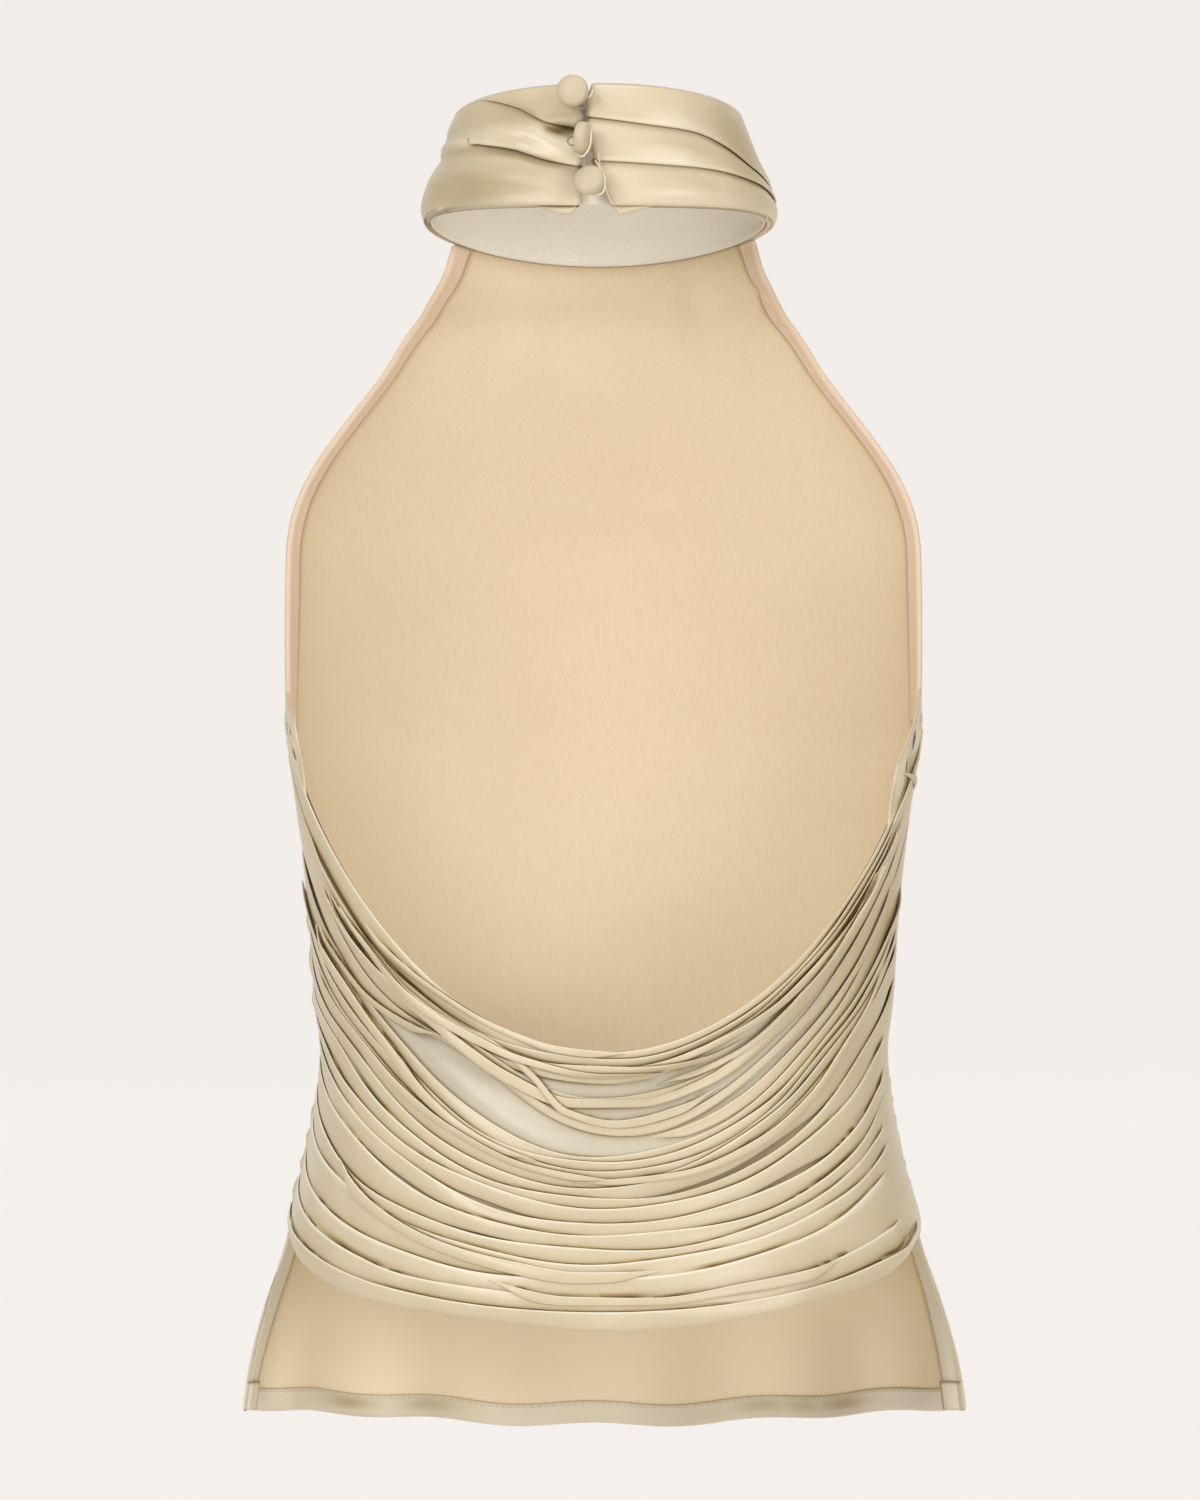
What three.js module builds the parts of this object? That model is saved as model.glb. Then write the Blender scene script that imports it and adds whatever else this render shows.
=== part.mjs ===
// A halter neck top in satin, filled out as if worn, in millimetres with +Z up.
// The wearer's back faces -Y and the wearer's left side is at -X. The origin is on the neck's axis,
// half way up the collar. One front panel hangs from a pleated collar that buttons at the nape. The
// back is open down to the waist, and below that a satin cowl carries rows of flat satin straps that
// run from side seam to side seam.
import * as THREE from 'three';
import { mergeVertices } from 'three/addons/utils/BufferGeometryUtils.js';

// Cloth thicknesses and gaps
const clothWall = 1.5;
const cowlWall = 1.2;
const strapWall = 1.2;
const strapGap = 0.36;
const strapSeat = 0.7;
const bindingWall = 1.0;
const bindingGap = 0.6;
const seamGap = 0.3;

// The body form that the panels are cut to, from the neck join down to the hem: half the width, how
// far forward the side edge and the centre front lie, how much the section flattens towards a
// parabola, and the depth of the back half behind the side seam.
const form = [
  { z: -30, halfWidth: 66.5, edgeY: 31, frontY: 56, roundness: 1.6, backDepth: 84 },
  { z: -43, halfWidth: 70.0, edgeY: 36, frontY: 59, roundness: 1.6, backDepth: 84 },
  { z: -56, halfWidth: 78.0, edgeY: 40, frontY: 63, roundness: 1.6, backDepth: 84 },
  { z: -70, halfWidth: 88.5, edgeY: 43, frontY: 68, roundness: 1.5, backDepth: 84 },
  { z: -86, halfWidth: 98.5, edgeY: 44, frontY: 75, roundness: 1.5, backDepth: 84 },
  { z: -98, halfWidth: 107.5, edgeY: 43, frontY: 81, roundness: 1.6, backDepth: 84 },
  { z: -111, halfWidth: 117.5, edgeY: 40, frontY: 88, roundness: 1.7, backDepth: 84 },
  { z: -123, halfWidth: 126.0, edgeY: 35, frontY: 94, roundness: 1.75, backDepth: 84 },
  { z: -135, halfWidth: 133.0, edgeY: 29, frontY: 100, roundness: 1.8, backDepth: 84 },
  { z: -146, halfWidth: 137.5, edgeY: 23, frontY: 104, roundness: 1.8, backDepth: 84 },
  { z: -157, halfWidth: 140.2, edgeY: 17, frontY: 108, roundness: 1.8, backDepth: 84 },
  { z: -168, halfWidth: 141.2, edgeY: 12, frontY: 111, roundness: 1.8, backDepth: 84 },
  { z: -207, halfWidth: 141.5, edgeY: 6, frontY: 116, roundness: 1.7, backDepth: 84 },
  { z: -243, halfWidth: 141.0, edgeY: 6, frontY: 113, roundness: 1.5, backDepth: 82 },
  { z: -271, halfWidth: 136.8, edgeY: 6, frontY: 106, roundness: 1.3, backDepth: 80 },
  { z: -300, halfWidth: 132.8, edgeY: 6, frontY: 98, roundness: 1.15, backDepth: 79 },
  { z: -332, halfWidth: 129.5, edgeY: 6, frontY: 91, roundness: 1.1, backDepth: 78 },
  { z: -369, halfWidth: 127.0, edgeY: 6, frontY: 86, roundness: 1.1, backDepth: 79 },
  { z: -392, halfWidth: 124.5, edgeY: 6, frontY: 85, roundness: 1.1, backDepth: 81 },
  { z: -410, halfWidth: 126.0, edgeY: 6, frontY: 86, roundness: 1.1, backDepth: 84 },
  { z: -440, halfWidth: 131.5, edgeY: 6, frontY: 89, roundness: 1.2, backDepth: 90 },
  { z: -463, halfWidth: 138.0, edgeY: 6, frontY: 93, roundness: 1.4, backDepth: 95 },
  { z: -480, halfWidth: 142.5, edgeY: 7, frontY: 96, roundness: 1.6, backDepth: 99 },
  { z: -506, halfWidth: 151.0, edgeY: 9, frontY: 100, roundness: 1.8, backDepth: 104 },
  { z: -540, halfWidth: 159.0, edgeY: 12, frontY: 104, roundness: 1.9, backDepth: 108 },
  { z: -560, halfWidth: 162.0, edgeY: 13, frontY: 106, roundness: 1.9, backDepth: 110 },
];

// Front panel
const neckJoinZ = -30;
const panelHemZ = -560;
const hemRiseAtSides = 6.5;
const hemDipAtFront = 8.0;
const hemDipSharpness = 2.8;
const hemWave = { count: 6.5, depth: 4.5, height: 1.4, fadesOver: 75 };
const seamRoll = { thickness: 1.3, width: 0.09, topZ: -243, bottomZ: -462 };
const panelColumns = 36;
const panelRows = 26;
const edgeColumnWidth = 10;

// The side seams, where the back meets the front panel
const seamY = 6;

// Collar: a band round the neck that opens at the nape, tilted down to the front
const collarCentreX = -2.5;
const collarWall = 2.0;
// The two edges of the nape opening, as distances to the side of the origin.
const collarOpening = [
  { up: 0, rightX: 4.5, leftX: -11.5 },
  { up: 0.35, rightX: -1.5, leftX: -11.8 },
  { up: 0.7, rightX: -5.2, leftX: -12.6 },
  { up: 0.85, rightX: -5.4, leftX: -14.5 },
  { up: 1, rightX: -4.6, leftX: -17.0 },
];
const collarSections = [
  { up: 0, halfWidth: 75.8, halfDepth: 54.5 },
  { up: 0.14, halfWidth: 77.2, halfDepth: 55.0 },
  { up: 0.35, halfWidth: 74.5, halfDepth: 54.0 },
  { up: 0.6, halfWidth: 68.5, halfDepth: 51.5 },
  { up: 0.8, halfWidth: 65.5, halfDepth: 49.5 },
  { up: 1, halfWidth: 63.0, halfDepth: 48.0 },
];
const collarBase = { z: -26, tilt: 0.18, sideRise: 6 };
const collarTop = { z: 27, tilt: 0.24 };
// Where the collar's two pleats run, as a share of its height, going round from the nape by the
// wearer's right side, the front and the wearer's left side, and how far each tier stands out.
const collarPleats = [
  { round: 0, lower: 0.385, upper: 0.74, standOut: 1.8 },
  { round: 21, lower: 0.36, upper: 0.69, standOut: 1.9 },
  { round: 40, lower: 0.345, upper: 0.66, standOut: 1.9 },
  { round: 54, lower: 0.31, upper: 0.57, standOut: 1.8 },
  { round: 66, lower: 0.275, upper: 0.43, standOut: 1.7 },
  { round: 90, lower: 0.2, upper: 0.3, standOut: 1.5 },
  { round: 125, lower: 0.24, upper: 0.48, standOut: 1.6 },
  { round: 180, lower: 0.31, upper: 0.63, standOut: 2.0 },
  { round: 235, lower: 0.42, upper: 0.76, standOut: 2.2 },
  { round: 275, lower: 0.6, upper: 0.92, standOut: 2.4 },
  { round: 302, lower: 0.62, upper: 0.95, standOut: 2.8 },
  { round: 319, lower: 0.555, upper: 0.93, standOut: 3.0 },
  { round: 331, lower: 0.49, upper: 0.85, standOut: 3.0 },
  { round: 342, lower: 0.395, upper: 0.71, standOut: 2.6 },
  { round: 352, lower: 0.34, upper: 0.655, standOut: 2.2 },
];
const collarColumns = 54;
const rowsInTier = 3;
const pleatOverhang = 0.025;
const liningWall = 1.2;
const liningGap = 0.5;
const buttonStand = { fromX: -22, toX: 10, wall: 1.0 };

// Buttons, covered in the same satin, on thread shanks. Each hangs turned to its side and tipped.
const button = { radius: 7.2, thickness: 7.0, shankThick: 2.4, loopThick: 1.1 };
const buttons = [
  { name: 'top', x: -13.8, y: -58.5, z: 35.3, turn: -14, tip: 8, sewnX: -10.0, sewnZ: 30.5 },
  { name: 'middle', x: -9.2, y: -65.2, z: 14.0, turn: 72, tip: -4, sewnX: -8.8, sewnZ: 14.0 },
  { name: 'bottom', x: -6.4, y: -67.2, z: -5.0, turn: -18, tip: 30, sewnX: -5.8, sewnZ: -4.0 },
];

// Back: straps from the top edge of the low back down to the lowest one. Each row has the height of
// a strap's upper edge at the centre back, half way round to the left and right side, and where its
// ends meet the side seams.
const strapColumns = 26;
const strapMidTurn = 50;
const straps = [
  { left: -243, leftMid: -332, top: -389.6, rightMid: -333, right: -243, width: 9.0 },
  { left: -250, leftMid: -345, top: -392.9, rightMid: -336, right: -247, width: 6.0 },
  { left: -257, leftMid: -350, top: -396.2, rightMid: -339, right: -250, width: 6.0 },
  { left: -263, leftMid: -353, top: -399.5, rightMid: -342, right: -254, width: 5.0 },
  { left: -270, leftMid: -358, top: -410.3, rightMid: -348, right: -257, width: 5.0 },
  { left: -279, leftMid: -363, top: -421.6, rightMid: -361, right: -263, width: 5.0 },
  { left: -301, leftMid: -376, top: -434.1, rightMid: -379, right: -279, width: 6.0 },
  { left: -315, leftMid: -384, top: -437.6, rightMid: -384, right: -306, width: 6.5 },
  { left: -324, leftMid: -388, top: -441.3, rightMid: -388, right: -315, width: 6.5 },
  { left: -333, leftMid: -394, top: -443.7, rightMid: -392, right: -324, width: 7.0 },
  { left: -347, leftMid: -405, top: -448.1, rightMid: -398, right: -335, width: 7.0 },
  { left: -360, leftMid: -412, top: -453.6, rightMid: -413, right: -351, width: 7.0 },
  { left: -374, leftMid: -420, top: -456.5, rightMid: -421, right: -369, width: 8.0 },
  { left: -384, leftMid: -427, top: -463.5, rightMid: -433, right: -383, width: 7.5 },
  { left: -394, leftMid: -436, top: -469.2, rightMid: -441, right: -392, width: 7.5 },
  { left: -406, leftMid: -449, top: -474.9, rightMid: -447, right: -402, width: 8.0 },
  { left: -419, leftMid: -455, top: -480.3, rightMid: -453, right: -414, width: 9.0 },
  { left: -434, leftMid: -469, top: -487.6, rightMid: -460, right: -430, width: 10.0 },
  { left: -448, leftMid: -478, top: -496.3, rightMid: -478, right: -447, width: 8.0 },
  { left: -460, leftMid: -487, top: -501.7, rightMid: -486, right: -459, width: 7.0 },
];
const lapAtBack = 1.9;
const lapAtSeam = 1.1;
const narrowest = 2.2;
const restShare = 0.4;
const stackCell = 0.5;
const stackTopZ = -225;
const stackBottomZ = -525;
const cowlRows = 18;
const cowlInset = 1.5;

// Armhole bindings, side facings and hem facing, all turned to the inside of the front panel
const armholeBinding = { fromRow: 0.4, toRow: 12.5, width: 7.5 };
const sideFacing = { fromRow: 22.5, toRow: 25.5, width: 9.0 };
const hemFacing = { height: 9.0 };

const materials = {
  satin: { color: 0xd3c7a6, roughness: 0.36, metalness: 0 },
  lining: { color: 0xddd5c6, roughness: 0.75, metalness: 0 },
  binding: { color: 0xcfb795, roughness: 0.7, metalness: 0 },
};

const degrees = Math.PI / 180;
const blend = (a, b, share) => a + (b - a) * share;
const limited = (value, low, high) => Math.min(high, Math.max(low, value));

function smooth(value, from, to) {
  const share = limited((value - from) / (to - from), 0, 1);
  return share * share * (3 - 2 * share);
}

// A curve through a table's rows with no overshoot, read at any place along its key column.
function readTable(rows, key, column) {
  const ordered = [...rows].sort((a, b) => a[key] - b[key]);
  const at = ordered.map((row) => row[key]);
  const value = ordered.map((row) => row[column]);
  const slope = at.slice(1).map((_, i) => (value[i + 1] - value[i]) / (at[i + 1] - at[i]));
  const tangent = at.map((_, i) => {
    if (i === 0) return slope[0];
    if (i === at.length - 1) return slope[i - 1];
    if (slope[i - 1] * slope[i] <= 0) return 0;
    return (2 * slope[i - 1] * slope[i]) / (slope[i - 1] + slope[i]);
  });
  return (place) => {
    const p = limited(place, at[0], at[at.length - 1]);
    let i = 0;
    while (i < at.length - 2 && p > at[i + 1]) i++;
    const step = at[i + 1] - at[i];
    const u = (p - at[i]) / step;
    const v = 1 - u;
    return (
      value[i] * v * v * (1 + 2 * u) +
      tangent[i] * step * u * v * v +
      value[i + 1] * u * u * (3 - 2 * u) -
      tangent[i + 1] * step * u * u * v
    );
  };
}

const halfWidthAt = readTable(form, 'z', 'halfWidth');
const edgeYAt = readTable(form, 'z', 'edgeY');
const frontYAt = readTable(form, 'z', 'frontY');
const roundnessAt = readTable(form, 'z', 'roundness');
const backDepthAt = readTable(form, 'z', 'backDepth');
const collarHalfWidthAt = readTable(collarSections, 'up', 'halfWidth');
const collarHalfDepthAt = readTable(collarSections, 'up', 'halfDepth');
const lowerPleatAt = readTable(collarPleats, 'round', 'lower');
const upperPleatAt = readTable(collarPleats, 'round', 'upper');
const rightEdgeAt = readTable(collarOpening, 'up', 'rightX');
const leftEdgeAt = readTable(collarOpening, 'up', 'leftX');
const standOutAt = readTable(collarPleats, 'round', 'standOut');

// A closed solid from a list of points and triangles, turned so that its faces point out.
function solid(points, triangles) {
  const positions = new Float32Array(points.flatMap((p) => [p.x, p.y, p.z]));
  let sixVolumes = 0;
  for (const [a, b, c] of triangles) {
    sixVolumes += points[a].dot(new THREE.Vector3().crossVectors(points[b], points[c]));
  }
  const outward = sixVolumes > 0 ? triangles : triangles.map(([a, b, c]) => [a, c, b]);
  const geometry = new THREE.BufferGeometry();
  geometry.setAttribute('position', new THREE.BufferAttribute(positions, 3));
  geometry.setIndex(outward.flat());
  geometry.computeVertexNormals();
  return geometry;
}

// A wall of cloth between two sheets of points that share one grid, closed round its edges.
function clothSheet(columns, rows, insideAt, outsideAt) {
  const points = [];
  const triangles = [];
  const across = columns + 1;
  const outside = across * (rows + 1);
  for (const at of [insideAt, outsideAt]) {
    for (let row = 0; row <= rows; row++) {
      for (let column = 0; column <= columns; column++) points.push(at(column, row));
    }
  }
  const face = (a, b, c, d) => triangles.push([a, b, c], [a, c, d]);
  for (let row = 0; row < rows; row++) {
    for (let column = 0; column < columns; column++) {
      const a = row * across + column;
      const corners = [a, a + 1, a + across + 1, a + across];
      face(...corners.map((i) => i + outside));
      face(...corners.reverse());
    }
  }
  const edge = [];
  for (let column = 0; column < columns; column++) edge.push(column);
  for (let row = 0; row < rows; row++) edge.push(row * across + columns);
  for (let column = columns; column > 0; column--) edge.push(rows * across + column);
  for (let row = rows; row > 0; row--) edge.push(row * across);
  edge.forEach((a, i) => {
    const b = edge[(i + 1) % edge.length];
    face(a, b, b + outside, a + outside);
  });
  return solid(points, triangles);
}

function named(name, geometry, finish) {
  const mesh = new THREE.Mesh(geometry, new THREE.MeshStandardMaterial(materials[finish]));
  mesh.name = name;
  return mesh;
}

// The direction out of a surface given by two shares, pointing away from the body's axis.
function outwardNormal(surfaceAt, a, b, axisY) {
  const small = 1e-3;
  const alongA = surfaceAt(a + small, b).sub(surfaceAt(a - small, b));
  const alongB = surfaceAt(a, b + small).sub(surfaceAt(a, b - small));
  const normal = alongA.cross(alongB).normalize();
  const here = surfaceAt(a, b);
  const fromAxis = new THREE.Vector3(here.x, here.y - axisY, 0);
  return normal.dot(fromAxis) < 0 ? normal.negate() : normal;
}

// The collar's inner face: round is in degrees from the nape, up is the share of its height.
function collarRing(round, up, out) {
  const nearX = Math.sin(round * degrees);
  const nearY = -Math.cos(round * degrees);
  const baseY = nearY * collarHalfDepthAt(0);
  const topY = nearY * collarHalfDepthAt(1);
  const baseZ = collarBase.z - collarBase.tilt * baseY + collarBase.sideRise * nearX * nearX;
  const topZ = collarTop.z - collarTop.tilt * topY;
  return new THREE.Vector3(
    collarCentreX + (collarHalfWidthAt(up) + out) * nearX,
    (collarHalfDepthAt(up) + out) * nearY,
    blend(baseZ, topZ, up),
  );
}

function napeRound(x, up) {
  return Math.asin((x - collarCentreX) / collarHalfWidthAt(up)) / degrees;
}

// The same face with share running from 0 at the opening's right edge round to 1 at its left edge.
function collarPoint(share, up, out) {
  const from = napeRound(rightEdgeAt(up), up);
  const to = 360 + napeRound(leftEdgeAt(up), up);
  return collarRing(blend(from, to, share), up, out);
}

function tierLines(share) {
  const round = share * 352;
  return [0, lowerPleatAt(round), upperPleatAt(round), 1];
}

// The outer face of the collar falls in three tiers, each standing out over the one below it.
function collarTierPoint(share, tier, shareUp) {
  const lines = tierLines(share);
  const bottom = lines[tier] - (tier > 0 ? pleatOverhang : 0);
  const fullness = Math.sin(Math.PI * shareUp) * 0.7;
  const ledge = standOutAt(share * 352) * (1 - shareUp) * (1 - 0.15 * tier);
  return collarPoint(share, blend(bottom, lines[tier + 1], shareUp), collarWall + ledge + fullness);
}

function collarBand() {
  const rowsOfTier = rowsInTier + 1;
  const rows = 3 * rowsOfTier - 1;
  const insideAt = (column, row) => collarPoint(column / collarColumns, row / rows, 0);
  const outsideAt = (column, row) => {
    const tier = Math.floor(row / rowsOfTier);
    return collarTierPoint(column / collarColumns, tier, (row % rowsOfTier) / rowsInTier);
  };
  return clothSheet(collarColumns, rows, insideAt, outsideAt);
}

function collarLining() {
  const rows = 6;
  const at = (out) => (column, row) =>
    collarPoint(column / collarColumns, blend(0.01, 0.985, row / rows), out);
  return clothSheet(collarColumns, rows, at(-liningGap - liningWall), at(-liningGap));
}

// The tab behind the nape opening that the buttons are sewn to.
function buttonStandTab() {
  const columns = 6;
  const rows = 8;
  const outermost = -2 * liningGap - liningWall;
  const at = (out) => (column, row) => {
    const up = blend(0.03, 0.95, row / rows);
    const x = blend(buttonStand.fromX, buttonStand.toX, column / columns);
    return collarRing(napeRound(x, up), up, out);
  };
  return clothSheet(columns, rows, at(outermost - buttonStand.wall), at(outermost));
}

// The y of the button stand's outer face at a spot on the nape.
function buttonStandY(x, z) {
  let nearest = collarRing(napeRound(x, 0), 0, 0);
  for (let up = 0; up <= 1; up += 0.01) {
    const point = collarRing(napeRound(x, up), up, 0);
    if (Math.abs(point.z - z) < Math.abs(nearest.z - z)) nearest = point;
  }
  return nearest.y + 2 * liningGap + liningWall;
}

// A covered button's way of facing, which is -Y before it is tipped and turned.
function buttonFacing(place) {
  const turned = new THREE.Euler(-place.tip * degrees, 0, place.turn * degrees, 'ZYX');
  return new THREE.Vector3(0, -1, 0).applyEuler(turned);
}

// A covered button is a round cushion, flatter at its back.
function coveredButton(place) {
  const half = button.thickness / 2;
  const steps = 8;
  const profile = [new THREE.Vector2(0, -half * 0.8)];
  for (let i = 1; i < steps; i++) {
    const angle = -Math.PI / 2 + (Math.PI * i) / steps;
    const height = Math.sin(angle) * (angle < 0 ? half * 0.8 : half);
    profile.push(new THREE.Vector2(button.radius * Math.cos(angle) ** 0.7, height));
  }
  profile.push(new THREE.Vector2(0, half));
  const head = new THREE.LatheGeometry(profile, 16);
  const facing = buttonFacing(place);
  const turn = new THREE.Quaternion().setFromUnitVectors(new THREE.Vector3(0, 1, 0), facing);
  head.applyQuaternion(turn);
  head.translate(place.x, place.y, place.z);
  return welded(head);
}

// The thread shank from the middle of a button's back to the stand.
function buttonShank(place) {
  const facing = buttonFacing(place);
  const centre = new THREE.Vector3(place.x, place.y, place.z);
  const behind = (distance) => centre.clone().addScaledVector(facing, -distance);
  const back = button.thickness * 0.4 + seamGap;
  const sewnY = buttonStandY(place.sewnX, place.sewnZ) - seamGap;
  const sewn = (distance) => new THREE.Vector3(place.sewnX, sewnY - distance, place.sewnZ);
  const path = new THREE.CurvePath();
  path.add(new THREE.CubicBezierCurve3(behind(back), behind(back + 2.4), sewn(2.4), sewn(0)));
  return threadAlong(path, button.shankThick, 8);
}

// Joins the doubled points of a closed three.js geometry and drops the faces with no area.
function welded(geometry) {
  const bare = new THREE.BufferGeometry();
  bare.setAttribute('position', geometry.getAttribute('position'));
  bare.setIndex(geometry.getIndex());
  const merged = mergeVertices(bare, 1e-3);
  const position = merged.getAttribute('position');
  const index = merged.getIndex();
  const points = [];
  for (let i = 0; i < position.count; i++) {
    points.push(new THREE.Vector3().fromBufferAttribute(position, i));
  }
  const triangles = [];
  for (let i = 0; i < index.count; i += 3) {
    const [a, b, c] = [0, 1, 2].map((k) => index.getX(i + k));
    if (a !== b && b !== c && a !== c) triangles.push([a, b, c]);
  }
  return solid(points, triangles);
}

// A round thread along a path, as a tube with six sides.
function threadAlong(path, thick, steps) {
  const sides = 6;
  const section = new THREE.Shape();
  for (let i = 0; i < sides; i++) {
    const angle = (2 * Math.PI * i) / sides;
    const corner = [Math.cos(angle), Math.sin(angle)].map((value) => (value * thick) / 2);
    if (i === 0) section.moveTo(...corner);
    else section.lineTo(...corner);
  }
  section.closePath();
  return welded(
    new THREE.ExtrudeGeometry(section, { steps, extrudePath: path, bevelEnabled: false }),
  );
}

// A thread loop that leaves the right edge of the opening and passes round a button's shank.
function buttonLoop(place) {
  const y = buttonStandY(place.sewnX, place.sewnZ) - 2.5 * seamGap - button.loopThick / 2;
  const clear = (button.shankThick + button.loopThick) / 2 + 1.8 * seamGap;
  const up = limited((place.sewnZ + 17) / 53, 0, 1);
  const edge = rightEdgeAt(up) - seamGap - button.loopThick / 2;
  const at = (dx, dz) => new THREE.Vector3(place.sewnX + dx, y, place.sewnZ + dz * clear);
  const reach = Math.max(edge - place.sewnX, clear);
  const path = new THREE.CurvePath();
  path.add(new THREE.LineCurve3(at(reach, 1), at(0, 1)));
  path.add(new THREE.CubicBezierCurve3(at(0, 1), at(-1.33 * clear, 1), at(-1.33 * clear, -1), at(0, -1)));
  path.add(new THREE.LineCurve3(at(0, -1), at(reach, -1)));
  return threadAlong(path, button.loopThick, 18);
}

// The front panel's inner face. side runs from -1 to 1 across it and down from 0 at the neck to 1
// at the hem.
function panelPoint(side, down) {
  const angle = limited(side, -1.02, 1.02) * 90 * degrees;
  const z = blend(neckJoinZ, panelHemZ, Math.max(down, 0) ** 1.25);
  const across = Math.sin(angle);
  const toFront = Math.max(Math.cos(angle), 0);
  const x = halfWidthAt(z) * across;
  const y = blend(edgeYAt(z), frontYAt(z), toFront ** roundnessAt(z));
  const point = new THREE.Vector3(x, y, z);
  const atNeck = 1 - smooth(neckJoinZ - z, 0, 34);
  if (atNeck > 0) {
    const join = neckJoinPoint(x);
    point.y = blend(point.y, join.y, atNeck);
    point.z = blend(point.z, join.z + z - neckJoinZ, atNeck);
  }
  const atHem = smooth(z, panelHemZ + hemWave.fadesOver, panelHemZ);
  const wave = Math.sin(hemWave.count * Math.PI * side) * toFront ** 0.5;
  point.z += atHem * (hemRiseAtSides - (hemRiseAtSides + hemDipAtFront) * toFront ** hemDipSharpness);
  point.z += atHem * hemWave.height * Math.cos(hemWave.count * Math.PI * side + 0.6) * toFront;
  point.x += atHem * wave * hemWave.depth * across * 0.5;
  point.y += atHem * wave * hemWave.depth;
  return point;
}

// The point of the collar's lower edge over a given x at the front.
function neckJoinPoint(x) {
  const share = limited((x - collarCentreX) / (collarHalfWidthAt(0) + 0.2), -0.999, 0.999);
  const round = 180 - Math.asin(share) / degrees;
  const point = collarRing(round, 0, 0.2);
  point.z -= seamGap;
  return point;
}

function panelSpot(side, down, out) {
  return panelPoint(side, down).addScaledVector(outwardNormal(panelPoint, side, down, seamY), out);
}

// How far in from the side edge a band of the given width reaches at one row, as a share of side.
function bandShare(row, width) {
  const edge = panelPoint(1, row / panelRows);
  let share = 0;
  while (panelPoint(1 - share, row / panelRows).distanceTo(edge) < width) share += 0.001;
  return share;
}

const edgeShares = Array.from({ length: panelRows + 1 }, (_, row) => bandShare(row, edgeColumnWidth));

// The panel's columns are even, but for the outermost, which have the width of the turned bands.
function panelSide(column, row) {
  const inner = 1 - edgeShares[row];
  if (column === 0 || column === panelColumns) return Math.sign(column - 1);
  return blend(-inner, inner, (column - 1) / (panelColumns - 2));
}

// The panel is one layer of cloth, thicker where its side edges are rolled over the strap ends.
function frontPanel() {
  const at = (wall) => (column, row) => {
    const side = panelSide(column, row);
    const down = row / panelRows;
    const z = blend(neckJoinZ, panelHemZ, down ** 1.25);
    const roll =
      smooth(Math.abs(side), 1 - seamRoll.width, 1) *
      smooth(z, seamRoll.topZ + 12, seamRoll.topZ) *
      smooth(z, seamRoll.bottomZ - 12, seamRoll.bottomZ);
    return panelSpot(side, down, wall ? wall + seamRoll.thickness * roll : 0);
  };
  return clothSheet(panelColumns, panelRows, at(0), at(clothWall));
}

// A spot off the panel's own facets: column and row count its grid and may fall between its lines.
function panelFacet(column, row, out) {
  const left = Math.min(Math.floor(column), panelColumns - 1);
  const above = Math.min(Math.floor(row), panelRows - 1);
  const corner = (c, r) => panelSpot(panelSide(c, r), r / panelRows, out);
  const upper = corner(left, above).lerp(corner(left + 1, above), column - left);
  const lower = corner(left, above + 1).lerp(corner(left + 1, above + 1), column - left);
  return upper.lerp(lower, row - above);
}

// A narrow strip on the inside of the panel's side edge, between two of its rows.
function edgeStrip(sign, strip) {
  const steps = Math.ceil(strip.toRow - strip.fromRow);
  const edge = sign < 0 ? 0 : panelColumns;
  const at = (out) => (column, row) => {
    const panelRow = limited(Math.floor(strip.fromRow) + column, strip.fromRow, strip.toRow);
    const first = panelFacet(edge, panelRow, 0);
    const second = panelFacet(edge - sign, panelRow, 0);
    const shares = [0.3, strip.width].map((reach) => reach / first.distanceTo(second));
    return panelFacet(edge - sign * Math.min(shares[row], 1), panelRow, out);
  };
  return clothSheet(steps, 1, at(-bindingGap - bindingWall), at(-bindingGap));
}

function hemStrip() {
  const at = (out) => (column, row) => {
    const lower = panelFacet(column + 1, panelRows, 0);
    const upper = panelFacet(column + 1, panelRows - 1, 0);
    const share = [0.3, hemFacing.height][row] / lower.distanceTo(upper);
    return panelFacet(column + 1, panelRows - share, out);
  };
  return clothSheet(panelColumns - 2, 1, at(-bindingGap - bindingWall), at(-bindingGap));
}

// The back's base surface, a half ellipse behind the side seams. turn is in degrees from the
// centre back, positive towards the wearer's right.
function backPoint(turn, z, out) {
  const angle = turn * degrees;
  const halfWidth = halfWidthAt(z);
  const depth = backDepthAt(z) + seamY;
  const normal = new THREE.Vector2(Math.sin(angle) * depth, -Math.cos(angle) * halfWidth);
  normal.normalize();
  return new THREE.Vector3(
    halfWidth * Math.sin(angle) + normal.x * out,
    seamY - seamGap - depth * Math.cos(angle) + normal.y * out,
    z,
  );
}

// The height of a strap's upper edge at a turn round the back: a swag through the row's heights.
function strapTop(strap, turn) {
  const [half, end] = turn < 0 ? [strap.leftMid, strap.left] : [strap.rightMid, strap.right];
  const rise = 1 - Math.cos(turn * degrees);
  const swell = Math.sin(turn * degrees) ** 2;
  const riseAtMid = 1 - Math.cos(strapMidTurn * degrees);
  const swellAtMid = Math.sin(strapMidTurn * degrees) ** 2;
  const swellHeight =
    (half - strap.top - riseAtMid * (end - strap.top)) / (swellAtMid - riseAtMid);
  return strap.top + rise * (end - strap.top - swellHeight) + swell * swellHeight;
}

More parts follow.
